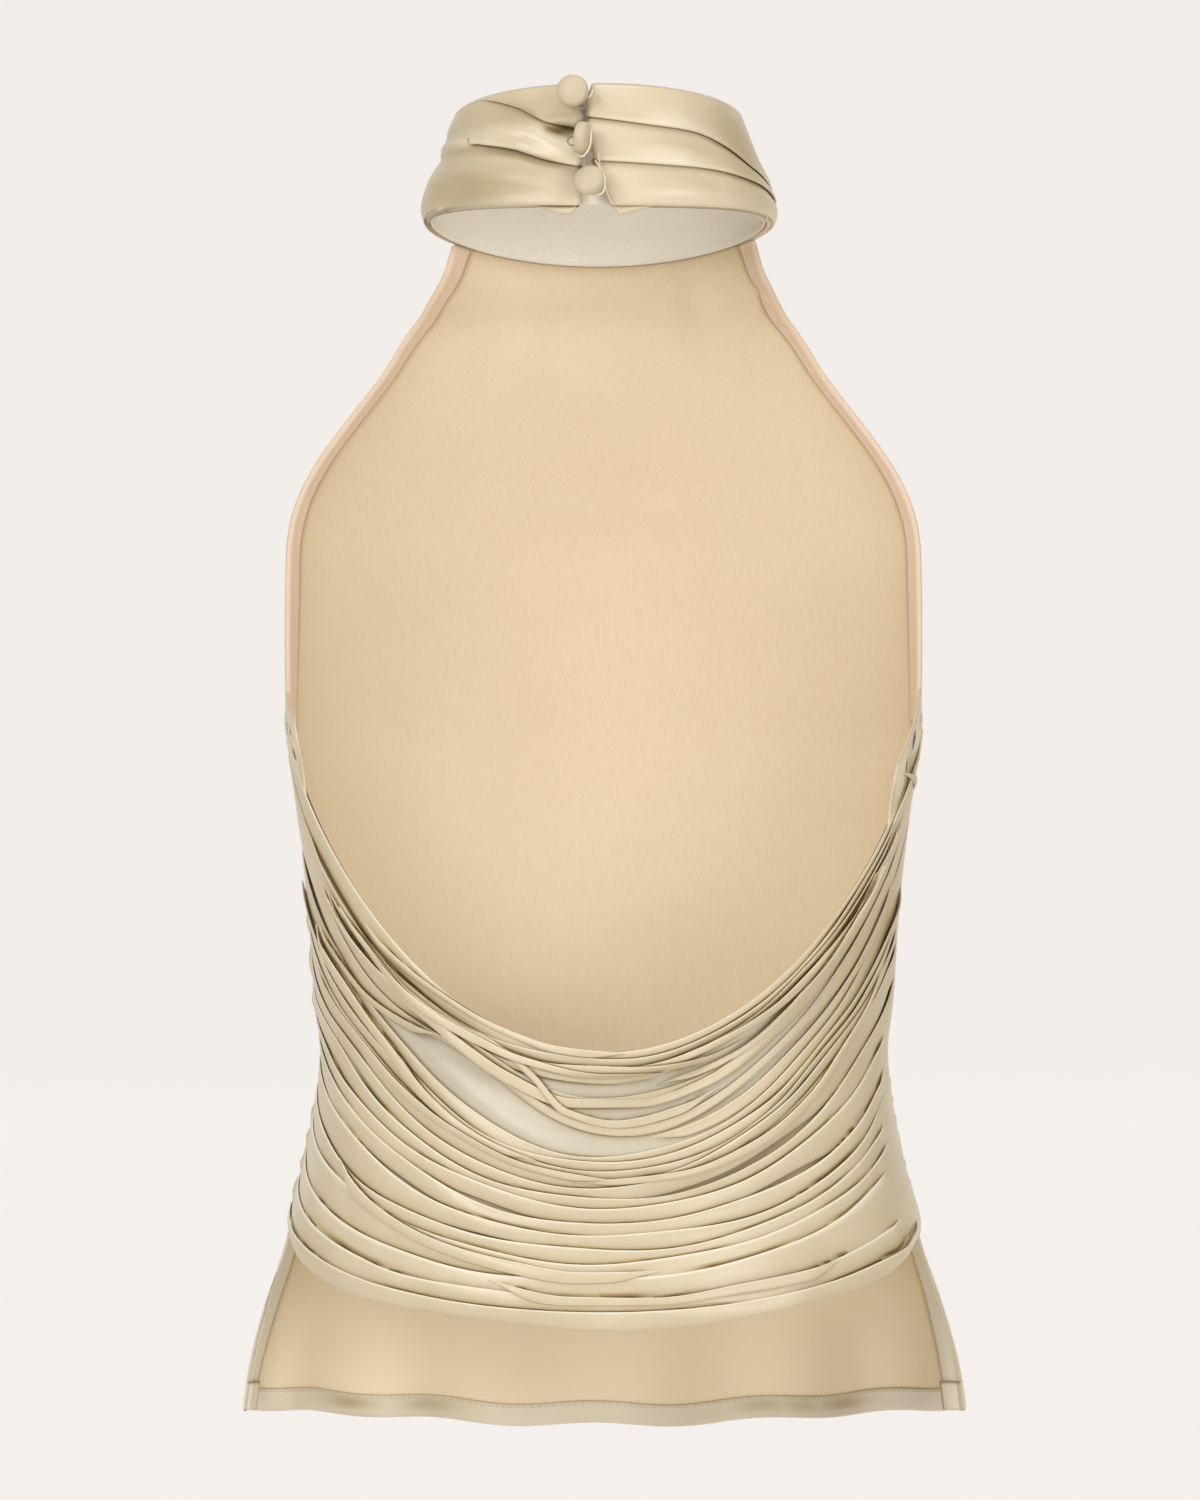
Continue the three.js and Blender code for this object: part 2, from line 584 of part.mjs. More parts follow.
// The strap's height measured straight up and down. It grows as the strap gets steeper, and
// shrinks where straps crowd together and fold, so that no more than two lie on each other.
function strapHeight(index, turn) {
  const strap = straps[index];
  const small = 0.5;
  const from = backPoint(turn - small, strapTop(strap, turn - small), 0);
  const to = backPoint(turn + small, strapTop(strap, turn + small), 0);
  const level = Math.hypot(to.x - from.x, to.y - from.y);
  const height = (strap.width * Math.hypot(level, to.z - from.z)) / level;
  if (index === straps.length - 1) return height;
  const shown = strapTop(strap, turn) - strapTop(straps[index + 1], turn);
  const lap = blend(lapAtBack, lapAtSeam, smooth(Math.abs(turn), 45, 85));
  return Math.min(height, Math.max(lap * shown, narrowest));
}

function strapTurn(column) {
  return blend(-90, 90, column / strapColumns);
}

// Lays the straps on the cowl one after another. Each one rests on those laid before it, so for
// every column it gives how far out the strap's lower and upper edges come to lie.
function stackStraps() {
  const cells = Math.round((stackTopZ - stackBottomZ) / stackCell);
  const covered = Array.from({ length: strapColumns + 1 }, () =>
    new Float64Array(cells).fill(cowlWall + strapSeat),
  );
  return straps.map((strap, index) => {
    const stations = covered.map((heights, column) => {
      const turn = strapTurn(column);
      const top = strapTop(strap, turn);
      const height = strapHeight(index, turn);
      const first = Math.floor((stackTopZ - top) / stackCell);
      const last = Math.ceil((stackTopZ - top + height) / stackCell);
      const shareAt = (cell) => (last - cell) / (last - first);
      let lower = 0;
      for (let cell = last; shareAt(cell) < restShare; cell--) {
        lower = Math.max(lower, heights[cell]);
      }
      let upper = lower;
      for (let cell = first; shareAt(cell) >= restShare; cell++) {
        upper = Math.max(upper, lower + (heights[cell] - lower) / shareAt(cell));
      }
      return { top, height, first, last, lower, upper };
    });
    for (const edge of ['lower', 'upper']) {
      const found = stations.map((station) => station[edge]);
      const at = (list, i) => list[limited(i, 0, strapColumns)];
      const raised = found.map((_, i) => Math.max(at(found, i - 1), found[i], at(found, i + 1)));
      stations.forEach((station, i) => {
        station[edge] = (at(raised, i - 1) + 2 * raised[i] + at(raised, i + 1)) / 4;
      });
    }
    stations.forEach((station, column) => {
      for (let cell = station.first - 1; cell <= station.last + 1; cell++) {
        const share = limited((station.last - cell) / (station.last - station.first), 0, 1);
        const cover = blend(station.lower, station.upper, share) + strapWall + strapGap;
        covered[column][cell] = Math.max(covered[column][cell], cover);
      }
    });
    return stations;
  });
}

function strapSolid(stations) {
  const at = (wall) => (column, row) => {
    const { top, height, lower, upper } = stations[column];
    return backPoint(strapTurn(column), top - (row ? 0 : height), (row ? upper : lower) + wall);
  };
  return clothSheet(strapColumns, 1, at(0), at(strapWall));
}

// The satin cowl under the straps, from just below the first strap's upper edge to the last strap.
function backCowl() {
  const at = (out) => (column, row) => {
    const turn = strapTurn(column);
    const last = straps.length - 1;
    const top = strapTop(straps[0], turn) - cowlInset;
    const bottom = strapTop(straps[last], turn) - strapHeight(last, turn) + cowlInset;
    return backPoint(turn, blend(top, bottom, row / cowlRows), out);
  };
  return clothSheet(strapColumns, cowlRows, at(0), at(cowlWall));
}

const top = new THREE.Group();
top.add(named('front_panel', frontPanel(), 'satin'));
top.add(named('collar_band', collarBand(), 'satin'));
top.add(named('collar_lining', collarLining(), 'lining'));
top.add(named('button_stand', buttonStandTab(), 'lining'));
for (const place of buttons) {
  top.add(named(`button_${place.name}`, coveredButton(place), 'satin'));
  top.add(named(`shank_${place.name}`, buttonShank(place), 'satin'));
  top.add(named(`loop_${place.name}`, buttonLoop(place), 'satin'));
}
for (const [name, sign] of [['left', -1], ['right', 1]]) {
  top.add(named(`armhole_binding_${name}`, edgeStrip(sign, armholeBinding), 'binding'));
  top.add(named(`side_facing_${name}`, edgeStrip(sign, sideFacing), 'satin'));
}
top.add(named('hem_facing', hemStrip(), 'satin'));
top.add(named('back_cowl', backCowl(), 'satin'));
stackStraps().forEach((stations, i) => {
  top.add(named(`strap_${String(i + 1).padStart(2, '0')}`, strapSolid(stations), 'satin'));
});

export default top;
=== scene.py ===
import math
import bpy
import numpy as np
from mathutils import Euler, Matrix, Vector


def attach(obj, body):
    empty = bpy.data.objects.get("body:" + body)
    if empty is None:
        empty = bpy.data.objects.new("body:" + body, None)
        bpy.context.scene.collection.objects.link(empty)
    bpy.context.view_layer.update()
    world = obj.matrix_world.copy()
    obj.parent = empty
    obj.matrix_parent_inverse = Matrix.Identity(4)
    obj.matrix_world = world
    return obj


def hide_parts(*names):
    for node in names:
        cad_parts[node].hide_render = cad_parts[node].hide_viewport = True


# A satin halter neck top seen from the back, filled out as if worn. Tables are in millimetres.
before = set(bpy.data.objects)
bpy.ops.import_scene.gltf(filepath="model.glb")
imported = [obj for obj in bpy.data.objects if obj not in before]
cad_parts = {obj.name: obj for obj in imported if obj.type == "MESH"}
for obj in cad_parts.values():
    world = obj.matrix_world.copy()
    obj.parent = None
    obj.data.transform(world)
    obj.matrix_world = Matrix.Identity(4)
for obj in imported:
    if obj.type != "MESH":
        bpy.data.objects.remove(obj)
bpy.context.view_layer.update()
mm = 0.001
print("frame loaded, nodes:", len(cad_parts))


# Small helpers for numbers and points

def mix(a, b, share):
    return a + (b - a) * share


def smooth(value, start, end):
    share = np.clip((value - start) / (end - start), 0, 1)
    return share * share * (3 - 2 * share)


# A curve through the given places with no overshoot.
def curveThrough(places, values):
    order = np.argsort(places)
    at = np.array(places, float)[order]
    value = np.array(values, float)[order]
    slope = np.diff(value) / np.diff(at)
    tangent = np.concatenate(([slope[0]], np.zeros(len(at) - 2), [slope[-1]]))
    same = slope[:-1] * slope[1:] > 0
    tangent[1:-1][same] = 2 * slope[:-1][same] * slope[1:][same] / (slope[:-1][same] + slope[1:][same])

    def read(place):
        p = np.clip(place, at[0], at[-1])
        i = np.clip(np.searchsorted(at, p, side="right") - 1, 0, len(at) - 2)
        step = at[i + 1] - at[i]
        u = (p - at[i]) / step
        v = 1 - u
        return (value[i] * v * v * (1 + 2 * u) + tangent[i] * step * u * v * v
                + value[i + 1] * u * u * (3 - 2 * u) - tangent[i + 1] * step * u * u * v)

    return read


# One curve for each named column of a table, read along another of its columns.
def curvesOf(table, along, *columns):
    return [curveThrough(table[along], table[column]) for column in columns]


def unit(vectors):
    return vectors / np.maximum(np.linalg.norm(vectors, axis=-1, keepdims=True), 1e-9)


# Directions out of a surface given by two shares, pointing away from the body's axis.
def outwardNormals(surfaceAt, a, b, axisY):
    small = 1e-3
    alongA = surfaceAt(a + small, b) - surfaceAt(a - small, b)
    alongB = surfaceAt(a, b + small) - surfaceAt(a, b - small)
    normal = unit(np.cross(alongA, alongB))
    away = surfaceAt(a, b) * (1, 1, 0) - (0, axisY, 0)
    inward = np.sum(normal * away, axis=-1, keepdims=True) < 0
    return np.where(inward, -normal, normal)


# Soft troughs and ridges on a surface seen from the back. A fold is its spots, rise and width.
def foldHeights(x, z, folds):
    height = np.zeros(np.broadcast(x, z).shape)
    for spots, rise, width in folds:
        nearest = np.full(height.shape, 1e9)
        taper = np.zeros(height.shape)
        for i in range(len(spots) - 1):
            (ax, az), (bx, bz) = spots[i], spots[i + 1]
            length2 = (bx - ax) ** 2 + (bz - az) ** 2
            share = np.clip(((x - ax) * (bx - ax) + (z - az) * (bz - az)) / length2, 0, 1)
            far = np.hypot(x - ax - share * (bx - ax), z - az - share * (bz - az))
            along = (i + share) / (len(spots) - 1)
            closer = far < nearest
            nearest = np.where(closer, far, nearest)
            taper = np.where(closer, np.sin(math.pi * (0.12 + 0.76 * along)), taper)
        height += rise * taper * np.exp(-(nearest / width) ** 2)
    return height


# Meshes from grids of points

def deselectAll():
    for obj in bpy.context.selected_objects:
        obj.select_set(False)


def linked(name, data):
    obj = bpy.data.objects.new(name, data)
    bpy.context.scene.collection.objects.link(obj)
    return obj


def newPiece(name, points, faces, finishes, faceFinish=None, uv=None, shade=None, edge=None):
    mesh = bpy.data.meshes.new(name)
    mesh.from_pydata((np.asarray(points) * mm).tolist(), [], faces)
    for finish in finishes:
        mesh.materials.append(finish)
    if faceFinish is not None:
        mesh.polygons.foreach_set("material_index", np.asarray(faceFinish, dtype=np.int32))
    loopPoints = np.zeros(len(mesh.loops), dtype=np.int32)
    mesh.loops.foreach_get("vertex_index", loopPoints)
    if uv is not None:
        layer = mesh.uv_layers.new(name="cloth")
        layer.data.foreach_set("uv", (np.asarray(uv)[loopPoints] * mm).ravel())
    # shade holds painted shade, and edge holds painted highlights and painted light; the cloth finishes read
    # both
    for title, values in (("shade", shade), ("edge", edge)):
        layer = mesh.attributes.new(title, "FLOAT", "POINT")
        layer.data.foreach_set("value", np.zeros(len(points)) if values is None else np.ravel(values))
    mesh.update()
    mesh.shade_smooth()
    obj = linked(name, mesh)
    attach(obj, "root")
    return obj


def sixVolumes(points, faces):
    total = 0.0
    for face in faces:
        for i in range(1, len(face) - 1):
            total += np.dot(points[face[0]], np.cross(points[face[i]], points[face[i + 1]]))
    return total


def facingOut(points, faces):
    return faces if sixVolumes(points, faces) > 0 else [face[::-1] for face in faces]


def lengthsAlong(grid, axis):
    steps = np.linalg.norm(np.diff(grid, axis=axis), axis=-1)
    start = np.zeros_like(np.take(steps, [0], axis=axis))
    return np.cumsum(np.concatenate((start, steps), axis=axis), axis=axis)


# A wall of cloth between an inner and an outer sheet of points, with a rounded edge all round.
def clothWall(name, inner, outer, finishes, shade=None, innerShade=None, edge=None, innerPaintedLight=None):
    rows, columns = inner.shape[0] - 1, inner.shape[1] - 1
    across = columns + 1
    sheet = across * (rows + 1)
    rim = [(0, c) for c in range(columns)] + [(r, columns) for r in range(rows)]
    rim += [(rows, c) for c in range(columns, 0, -1)] + [(r, 0) for r in range(rows, 0, -1)]
    rimPoints = []
    for r, c in rim:
        middle = (inner[r, c] + outer[r, c]) / 2
        nextIn = (min(max(r, 1), rows - 1), min(max(c, 1), columns - 1))
        away = middle - (inner[nextIn] + outer[nextIn]) / 2
        half = np.linalg.norm(outer[r, c] - inner[r, c]) / 2
        rimPoints.append(middle + unit(away) * half)
    points = np.concatenate((inner.reshape(-1, 3), outer.reshape(-1, 3), rimPoints))
    faces = []
    for r in range(rows):
        for c in range(columns):
            a = r * across + c
            faces.append([a, a + across, a + across + 1, a + 1])
    faces += [[i + sheet for i in face[::-1]] for face in faces]
    spots = [r * across + c for r, c in rim]
    for i, a in enumerate(spots):
        j = (i + 1) % len(spots)
        b = spots[j]
        faces.append([a, b, 2 * sheet + j, 2 * sheet + i])
        faces.append([2 * sheet + i, 2 * sheet + j, b + sheet, a + sheet])
    finish = [0] * (rows * columns) + [len(finishes) - 1] * (len(faces) - rows * columns)
    u = lengthsAlong(outer, 1)
    v = lengthsAlong(outer, 0)
    uvSheet = np.stack((u - u.max(axis=1, keepdims=True) / 2, v), axis=-1).reshape(-1, 2)
    uv = np.concatenate((uvSheet, uvSheet, uvSheet[spots]))

    # The shade values are painted shade and the edge values painted light, on the outer and the inner sheet
    def onAll(outerValues, innerValues):
        blank = np.zeros((rows + 1, across))
        outside = (blank if outerValues is None else outerValues).ravel()
        inside = (blank if innerValues is None else innerValues).ravel()
        return np.concatenate((inside, outside, (inside[spots] + outside[spots]) / 2))

    return newPiece(name, points, facingOut(points, faces), finishes, finish, uv,
                    onAll(shade, innerShade), onAll(edge, innerPaintedLight))


# A strip swept through closed cross sections, with its two ends filled.
def clothStrip(name, sections, finishes, shade=None, edge=None):
    stations, around = sections.shape[:2]
    points = sections.reshape(-1, 3)
    faces = []
    for s in range(stations - 1):
        for a in range(around):
            b = (a + 1) % around
            faces.append([s * around + a, s * around + b, (s + 1) * around + b, (s + 1) * around + a])
    faces.append(list(range(around)))
    faces.append([(stations - 1) * around + a for a in range(around)][::-1])
    closed = np.concatenate((sections, sections[:, :1]), axis=1)
    u = lengthsAlong(sections, 0)
    v = lengthsAlong(closed, 1)[:, :-1]
    uv = np.stack((u, v), axis=-1).reshape(-1, 2)
    return newPiece(name, points, facingOut(points, faces), finishes, None, uv, shade, edge)


# Materials

def colour(code):
    parts = [((code >> shift) & 255) / 255 for shift in (16, 8, 0)]
    return [p / 12.92 if p < 0.04045 else ((p + 0.055) / 1.055) ** 2.4 for p in parts] + [1]


def addNode(tree, kind, **inputs):
    node = tree.nodes.new(kind)
    for key, value in inputs.items():
        node.inputs[key.replace("_", " ")].default_value = value
    return node


def mixNode(tree, share, first, second, blendType="MIX"):
    node = tree.nodes.new("ShaderNodeMix")
    node.data_type = "RGBA"
    node.blend_type = blendType
    for socket, value in ((node.inputs[0], share), (node.inputs[6], first), (node.inputs[7], second)):
        if isinstance(value, bpy.types.NodeSocket):
            tree.links.new(value, socket)
        else:
            socket.default_value = value
    return node.outputs[2]


def scaledNoise(tree, source, scale, size, detail=3.0):
    mapping = addNode(tree, "ShaderNodeMapping", Scale=scale)
    noise = addNode(tree, "ShaderNodeTexNoise", Scale=1000 / size, Detail=detail, Roughness=0.6)
    tree.links.new(source, mapping.inputs["Vector"])
    tree.links.new(mapping.outputs["Vector"], noise.inputs["Vector"])
    return noise.outputs["Fac"]


def rangeNode(tree, source, fromLow, fromHigh, toLow, toHigh):
    node = tree.nodes.new("ShaderNodeMapRange")
    tree.links.new(source, node.inputs["Value"])
    for key, value in (("From Min", fromLow), ("From Max", fromHigh), ("To Min", toLow), ("To Max", toHigh)):
        node.inputs[key].default_value = value
    return node.outputs["Result"]


def newMaterial(name):
    material = bpy.data.materials.new(name)
    material.use_nodes = True
    tree = material.node_tree
    return material, tree, tree.nodes["Principled BSDF"], tree.nodes.new("ShaderNodeTexCoord")


def attributeNode(tree, name):
    node = tree.nodes.new("ShaderNodeAttribute")
    node.attribute_name = name
    return node.outputs["Fac"]


# One cloth finish: a base colour with cloudy tints, painted highlights where the edge attribute rises and a
# fine
# thread grain. Painted shade: creases go warm as the shade attribute rises to warmShade, then dark.
threadSpan = (0.3, 0.7)
cloudSpan = (0.35, 0.65)
paintedLightShare = 0.75
warmShade = 0.45
dullShade, dullGloss = 0.7, 0.06


def clothFinish(name, look):
    material, tree, shader, coords = newMaterial(name)
    cloth = coords.outputs["UV"] if look.get("followsCloth", True) else coords.outputs["Object"]
    threads = scaledNoise(tree, cloth, look["grain"], look["threadSize"], 4.0)
    clouds = scaledNoise(tree, coords.outputs["Object"], (1, 1, 1), look["cloudSize"], 2.0)
    tint = rangeNode(tree, clouds, *cloudSpan, 0, look["cloudiness"])
    base = mixNode(tree, tint, colour(look["base"]), colour(look["tint"]))
    edge = attributeNode(tree, "edge")
    base = mixNode(tree, rangeNode(tree, edge, 0, 1, 0, paintedLightShare), base, colour(look["light"]))
    fleck = rangeNode(tree, threads, *threadSpan, 0, look["fleck"])
    base = mixNode(tree, fleck, base, colour(look["grainTint"]))
    shade = attributeNode(tree, "shade")
    base = mixNode(tree, rangeNode(tree, shade, 0, warmShade, 0, 1), base, colour(look["warm"]))
    base = mixNode(tree, rangeNode(tree, shade, warmShade, 1, 0, 1), base, colour(look["dark"]))
    tree.links.new(base, shader.inputs["Base Color"])
    rough = rangeNode(tree, threads, *threadSpan, *look["roughness"])
    tree.links.new(rough, shader.inputs["Roughness"])
    inCrease = rangeNode(tree, shade, 0, dullShade, look["gloss"], dullGloss)
    tree.links.new(inCrease, shader.inputs["Specular IOR Level"])
    shader.inputs["Sheen Weight"].default_value = look["sheen"]
    shader.inputs["Sheen Roughness"].default_value = 0.45
    shader.inputs["Sheen Tint"].default_value = colour(look["light"])
    bump = addNode(tree, "ShaderNodeBump", Strength=look["bump"], Distance=look["bumpDepth"] * mm)
    tree.links.new(threads, bump.inputs["Height"])
    tree.links.new(bump.outputs["Normal"], shader.inputs["Normal"])
    return material


# In each look, light is the colour of painted highlights and painted light and also tints the sheen; warm and
# dark are the colours of painted shade
satinLook = {
    "base": 0xD5C7AA, "tint": 0xC4B190, "light": 0xEEE5D2, "warm": 0xAA9876, "dark": 0x3E280E,
    "grainTint": 0xDCD0B8, "fleck": 0.3, "grain": (1, 0.35, 1), "threadSize": 0.55,
    "cloudSize": 40, "cloudiness": 0.5, "roughness": (0.31, 0.4), "gloss": 0.54,
    "sheen": 0.08, "bump": 0.16, "bumpDepth": 0.1,
}
satinFinish = clothFinish("champagneSatin", satinLook)
# The straps' satin has a brighter light for the painted highlights along their upper edges, and its own warm
# painted shade
strapFinish = clothFinish("strapSatin", dict(satinLook, light=0xFCF6E8, warm=0xA99367))
cowlFinish = clothFinish("cowlSatin", dict(
    satinLook, base=0xCAC1AC, tint=0xBDB198, light=0xEEE6D7, grainTint=0xD6CDBA, roughness=(0.32, 0.4),
    gloss=0.5))
# A slightly paler, less yellow copy of the satin for the facings and corner tabs: painted light where they
# face away from the lamps
litSatinFinish = clothFinish("litSatin", dict(
    satinLook, base=0xD3C9B2, tint=0xC5B89B, light=0xEEE6D7, grainTint=0xDFD6C3, roughness=(0.32, 0.4),
    gloss=0.5))
crepeFinish = clothFinish("crepeWrongSide", {
    "base": 0xDBC8A9, "tint": 0xD7C3A1, "light": 0xEEDFC0, "warm": 0xC0A77B, "dark": 0x8F7650,
    "grainTint": 0xE5D5B8, "fleck": 0.5, "grain": (1, 1, 0.22), "threadSize": 1.1,
    "followsCloth": False, "cloudSize": 90, "cloudiness": 0.4, "roughness": (0.78, 0.92),
    "gloss": 0.2, "sheen": 0.06, "bump": 0.25, "bumpDepth": 0.15,
})
liningFinish = clothFinish("paleCrepeLining", {
    "base": 0xDED6C6, "tint": 0xD3CABA, "light": 0xF0EADD, "warm": 0xBAB09C, "dark": 0x7F735C,
    "grainTint": 0xE9E3D6, "fleck": 0.6, "grain": (1, 1, 1), "threadSize": 1.3,
    "cloudSize": 40, "cloudiness": 0.4, "roughness": (0.7, 0.85), "gloss": 0.3,
    "sheen": 0.08, "bump": 0.55, "bumpDepth": 0.35,
})
bindingFinish = clothFinish("armholeBinding", {
    "base": 0xD6BFA4, "tint": 0xD6BAA6, "light": 0xE8D8C4, "warm": 0xB89C7C, "dark": 0x84694A,
    "grainTint": 0xDCCAB0, "fleck": 0.35, "grain": (0.4, 1, 1), "threadSize": 0.7,
    "cloudSize": 30, "cloudiness": 0.6, "roughness": (0.5, 0.65), "gloss": 0.35,
    "sheen": 0.1, "bump": 0.2, "bumpDepth": 0.1,
})
buttonFinish = clothFinish("buttonSatin", dict(
    satinLook, base=0xC0B194, tint=0xB8A789, roughness=(0.42, 0.52), gloss=0.45))
threadFinish = clothFinish("creamThread", dict(
    satinLook, base=0xE1D8C0, tint=0xD2C5A6, threadSize=0.25, bump=0.5, roughness=(0.5, 0.65)))
stitchFinish = clothFinish("stitchThread", dict(
    satinLook, base=0xB3A67F, tint=0xA5976E, threadSize=0.2, bump=0.4, roughness=(0.5, 0.65)))


# A worn metal finish for the ring under the middle button.
def metalFinish(name):
    material, tree, shader, coords = newMaterial(name)
    shader.inputs["Metallic"].default_value = 0.85
    wear = scaledNoise(tree, coords.outputs["Object"], (1, 1, 1), 0.8)
    tree.links.new(mixNode(tree, wear, colour(0x6F7468), colour(0xA9A698)), shader.inputs["Base Color"])
    tree.links.new(rangeNode(tree, wear, *threadSpan, 0.25, 0.45), shader.inputs["Roughness"])
    return material


ringFinish = metalFinish("greyRing")
print("finishes made")


# The body form that the panels are cut to, from the neck join down to the hem
form = {
    "z": (-30, -43, -56, -70, -86, -98, -111, -123, -135, -146, -157, -168, -207, -243,
          -271, -300, -332, -369, -392, -410, -440, -463, -480, -506, -540, -560),
    "halfWidth": (66.5, 70, 78, 88.5, 98.5, 107.5, 117.5, 126, 133, 137.5, 140.2, 141.2, 141.5, 141,
                  136.8, 132.8, 129.5, 127, 124.5, 126, 131.5, 138, 142.5, 151, 159, 162),
    "edgeY": (31, 36, 40, 43, 44, 43, 40, 35, 29, 23, 17, 12, 6, 6, 6, 6, 6, 6, 6, 6, 6, 6, 7, 9, 12, 13),
    "frontY": (56, 59, 63, 68, 75, 81, 88, 94, 100, 104, 108, 111, 116, 113,
               106, 98, 91, 86, 85, 86, 89, 93, 96, 100, 104, 106),
    "roundness": (1.6, 1.6, 1.6, 1.5, 1.5, 1.6, 1.7, 1.75, 1.8, 1.8, 1.8, 1.8, 1.7, 1.5,
                  1.3, 1.15, 1.1, 1.1, 1.1, 1.1, 1.2, 1.4, 1.6, 1.8, 1.9, 1.9),
    "backDepth": (84, 84, 84, 84, 84, 84, 84, 84, 84, 84, 84, 84, 84, 82,
                  80, 79, 78, 79, 81, 84, 90, 95, 99, 104, 108, 110),
}
halfWidthAt, edgeYAt, frontYAt, roundnessAt, backDepthAt = curvesOf(
    form, "z", "halfWidth", "edgeY", "frontY", "roundness", "backDepth")
seamY = 6
seamGap = 0.3

# Collar: a pleated band round the neck that opens at the nape
collar = {
    "centreX": -2.5, "wall": 2.0, "liningWall": 1.2, "liningGap": 0.5,
    "baseZ": -26, "baseTilt": 0.18, "sideRise": 6, "topZ": 27, "topTilt": 0.24,
    "columns": 300, "fullness": 1.0, "lowestUp": 0.03, "roundTurn": 352, "tierScale": 55, "height": 53,
    "foldStands": (0.3, 1.3), "shadeStands": (0.4, 1.6), "behind": (24, -12),
    # How dark the painted shade under each tier and in its tucks is, and how bright the painted highlight on
    # its lip
    "underTier": 0.6, "tierFade": 0.7, "tucked": 0.85, "lip": 0.6, "darkest": 0.95,
}
collarSections = {
    "up": (0, 0.14, 0.35, 0.6, 0.8, 1),
    "halfWidth": (75.8, 77.2, 74.5, 68.5, 65.5, 63),
    "halfDepth": (54.5, 55, 54, 51.5, 49.5, 48),
}
collarOpening = {
    "up": (0, 0.35, 0.7, 0.85, 1),
    "rightX": (4.5, -1.5, -5.2, -5.4, -4.6),
    "leftX": (-11.5, -11.8, -12.6, -14.5, -17),
}
collarPleats = {
    "round": (0, 21, 40, 54, 66, 90, 125, 180, 235, 275, 302, 312, 319, 331, 342, 352),
    "lower": (0.385, 0.36, 0.345, 0.31, 0.275, 0.2, 0.24, 0.31, 0.42, 0.6, 0.6, 0.585,
              0.555, 0.49, 0.395, 0.34),
    "upper": (0.74, 0.69, 0.66, 0.57, 0.43, 0.3, 0.48, 0.63, 0.9, 0.985, 0.99, 0.985,
              0.95, 0.85, 0.71, 0.655),
    "lowerOut": (2.0, 2.1, 2.1, 2.0, 1.9, 1.5, 1.6, 2, 1.4, 0, 0.2, 1.6, 3.2, 3.6, 3.0, 2.2),
    "upperOut": (2.1, 2.2, 2.2, 2.1, 1.9, 1.4, 1.5, 2, 1.2, 0, 0.1, 0.6, 1.2, 1.7, 1.8, 1.9),
}
collarHalfWidthAt, collarHalfDepthAt = curvesOf(collarSections, "up", "halfWidth", "halfDepth")
rightEdgeAt, leftEdgeAt = curvesOf(collarOpening, "up", "rightX", "leftX")
lowerPleatAt, upperPleatAt, lowerOutAt, upperOutAt = curvesOf(
    collarPleats, "round", "lower", "upper", "lowerOut", "upperOut")


# The collar's inner face: turn in degrees from the nape, up is the share of its height.
def collarRing(turn, up, out):
    nearX = np.sin(np.radians(turn))
    nearY = -np.cos(np.radians(turn))
    baseY = nearY * collarHalfDepthAt(0)
    topY = nearY * collarHalfDepthAt(1)
    baseZ = collar["baseZ"] - collar["baseTilt"] * baseY + collar["sideRise"] * nearX * nearX
    topZ = collar["topZ"] - collar["topTilt"] * topY
    x = collar["centreX"] + (collarHalfWidthAt(up) + out) * nearX
    y = (collarHalfDepthAt(up) + out) * nearY
    return np.stack(np.broadcast_arrays(x, y, mix(baseZ, topZ, up)), axis=-1)


def napeTurn(x, up):
    return np.degrees(np.arcsin((x - collar["centreX"]) / collarHalfWidthAt(up)))


# share runs from 0 at the opening's right edge round to 1 at its left edge.
def collarPoint(share, up, out):
    start = napeTurn(rightEdgeAt(up), up)
    end = 360 + napeTurn(leftEdgeAt(up), up)
    return collarRing(mix(start, end, share), up, out)


# Folds on the collar as seen from the back, each its spots, rise and width: the twist left of the
# buttons, the belly under it and the soft lie of the right half
collarFolds = [
    (((-62, 16), (-47, 19), (-33, 19), (-24, 13), (-13, 5)), 2.4, 6),
    (((-76, 10), (-72, 13.5), (-63, 14.5), (-52, 12.5)), 1.9, 2.3),
    (((-73, 7), (-64, 8.5), (-52, 8)), -1.6, 2.4),
    (((-25, 18.8), (-18, 18.5), (-9, 17.5)), -3.4, 1.9),
    (((-27, 21.2), (-18, 22.6), (-9, 22.4)), 1.8, 1.6),
    (((-44, 11.5), (-33, 12), (-22, 9)), -0.9, 2.6),
    (((-50, 27), (-38, 26), (-28, 21)), -1.3, 3),
    (((-78, -10), (-62, -10), (-46, -9), (-28, -9)), -1.8, 5),
    (((-76, -15), (-50, -15.6), (-8, -15.6)), 1.5, 2.3),
    (((-68, 1), (-48, -2), (-28, -3)), 1.7, 7),
    (((40, 24), (47, 10), (51, -4)), -1.0, 6),
    (((14, 25), (34, 23), (52, 15)), 1.0, 4.5),
    (((12, 7), (34, 6), (56, 0)), 1.1, 4.5),
    (((16, -9), (40, -9), (64, -13)), 1.2, 4),
]
# Painted shade and, below, painted highlights on the collar, as folds whose rise is the depth of the tone
collarShades = [
    (((-25, 18.6), (-17, 18.4), (-9, 17.4)), 0.9, 1.7),
    (((-64, 11), (-52, 10.2), (-39, 8.6), (-24, 4), (-12, -0.5)), 0.4, 1.6),
    (((-90, -8), (-66, -8), (-44, -4), (-20, -5)), 0.36, 12),
    (((-66, 27), (-40, 26), (-24, 26), (-6, 27)), 0.36, 9),
    (((-76, 22), (-70, 14), (-66, 4)), 0.22, 9),
    (((44, 32), (57, 20), (65, 4), (68, -12)), 0.34, 10),
    (((16, 14), (36, 13), (52, 7)), 0.16, 3),
    (((16, -4), (40, -4), (60, -8)), 0.16, 3),
]
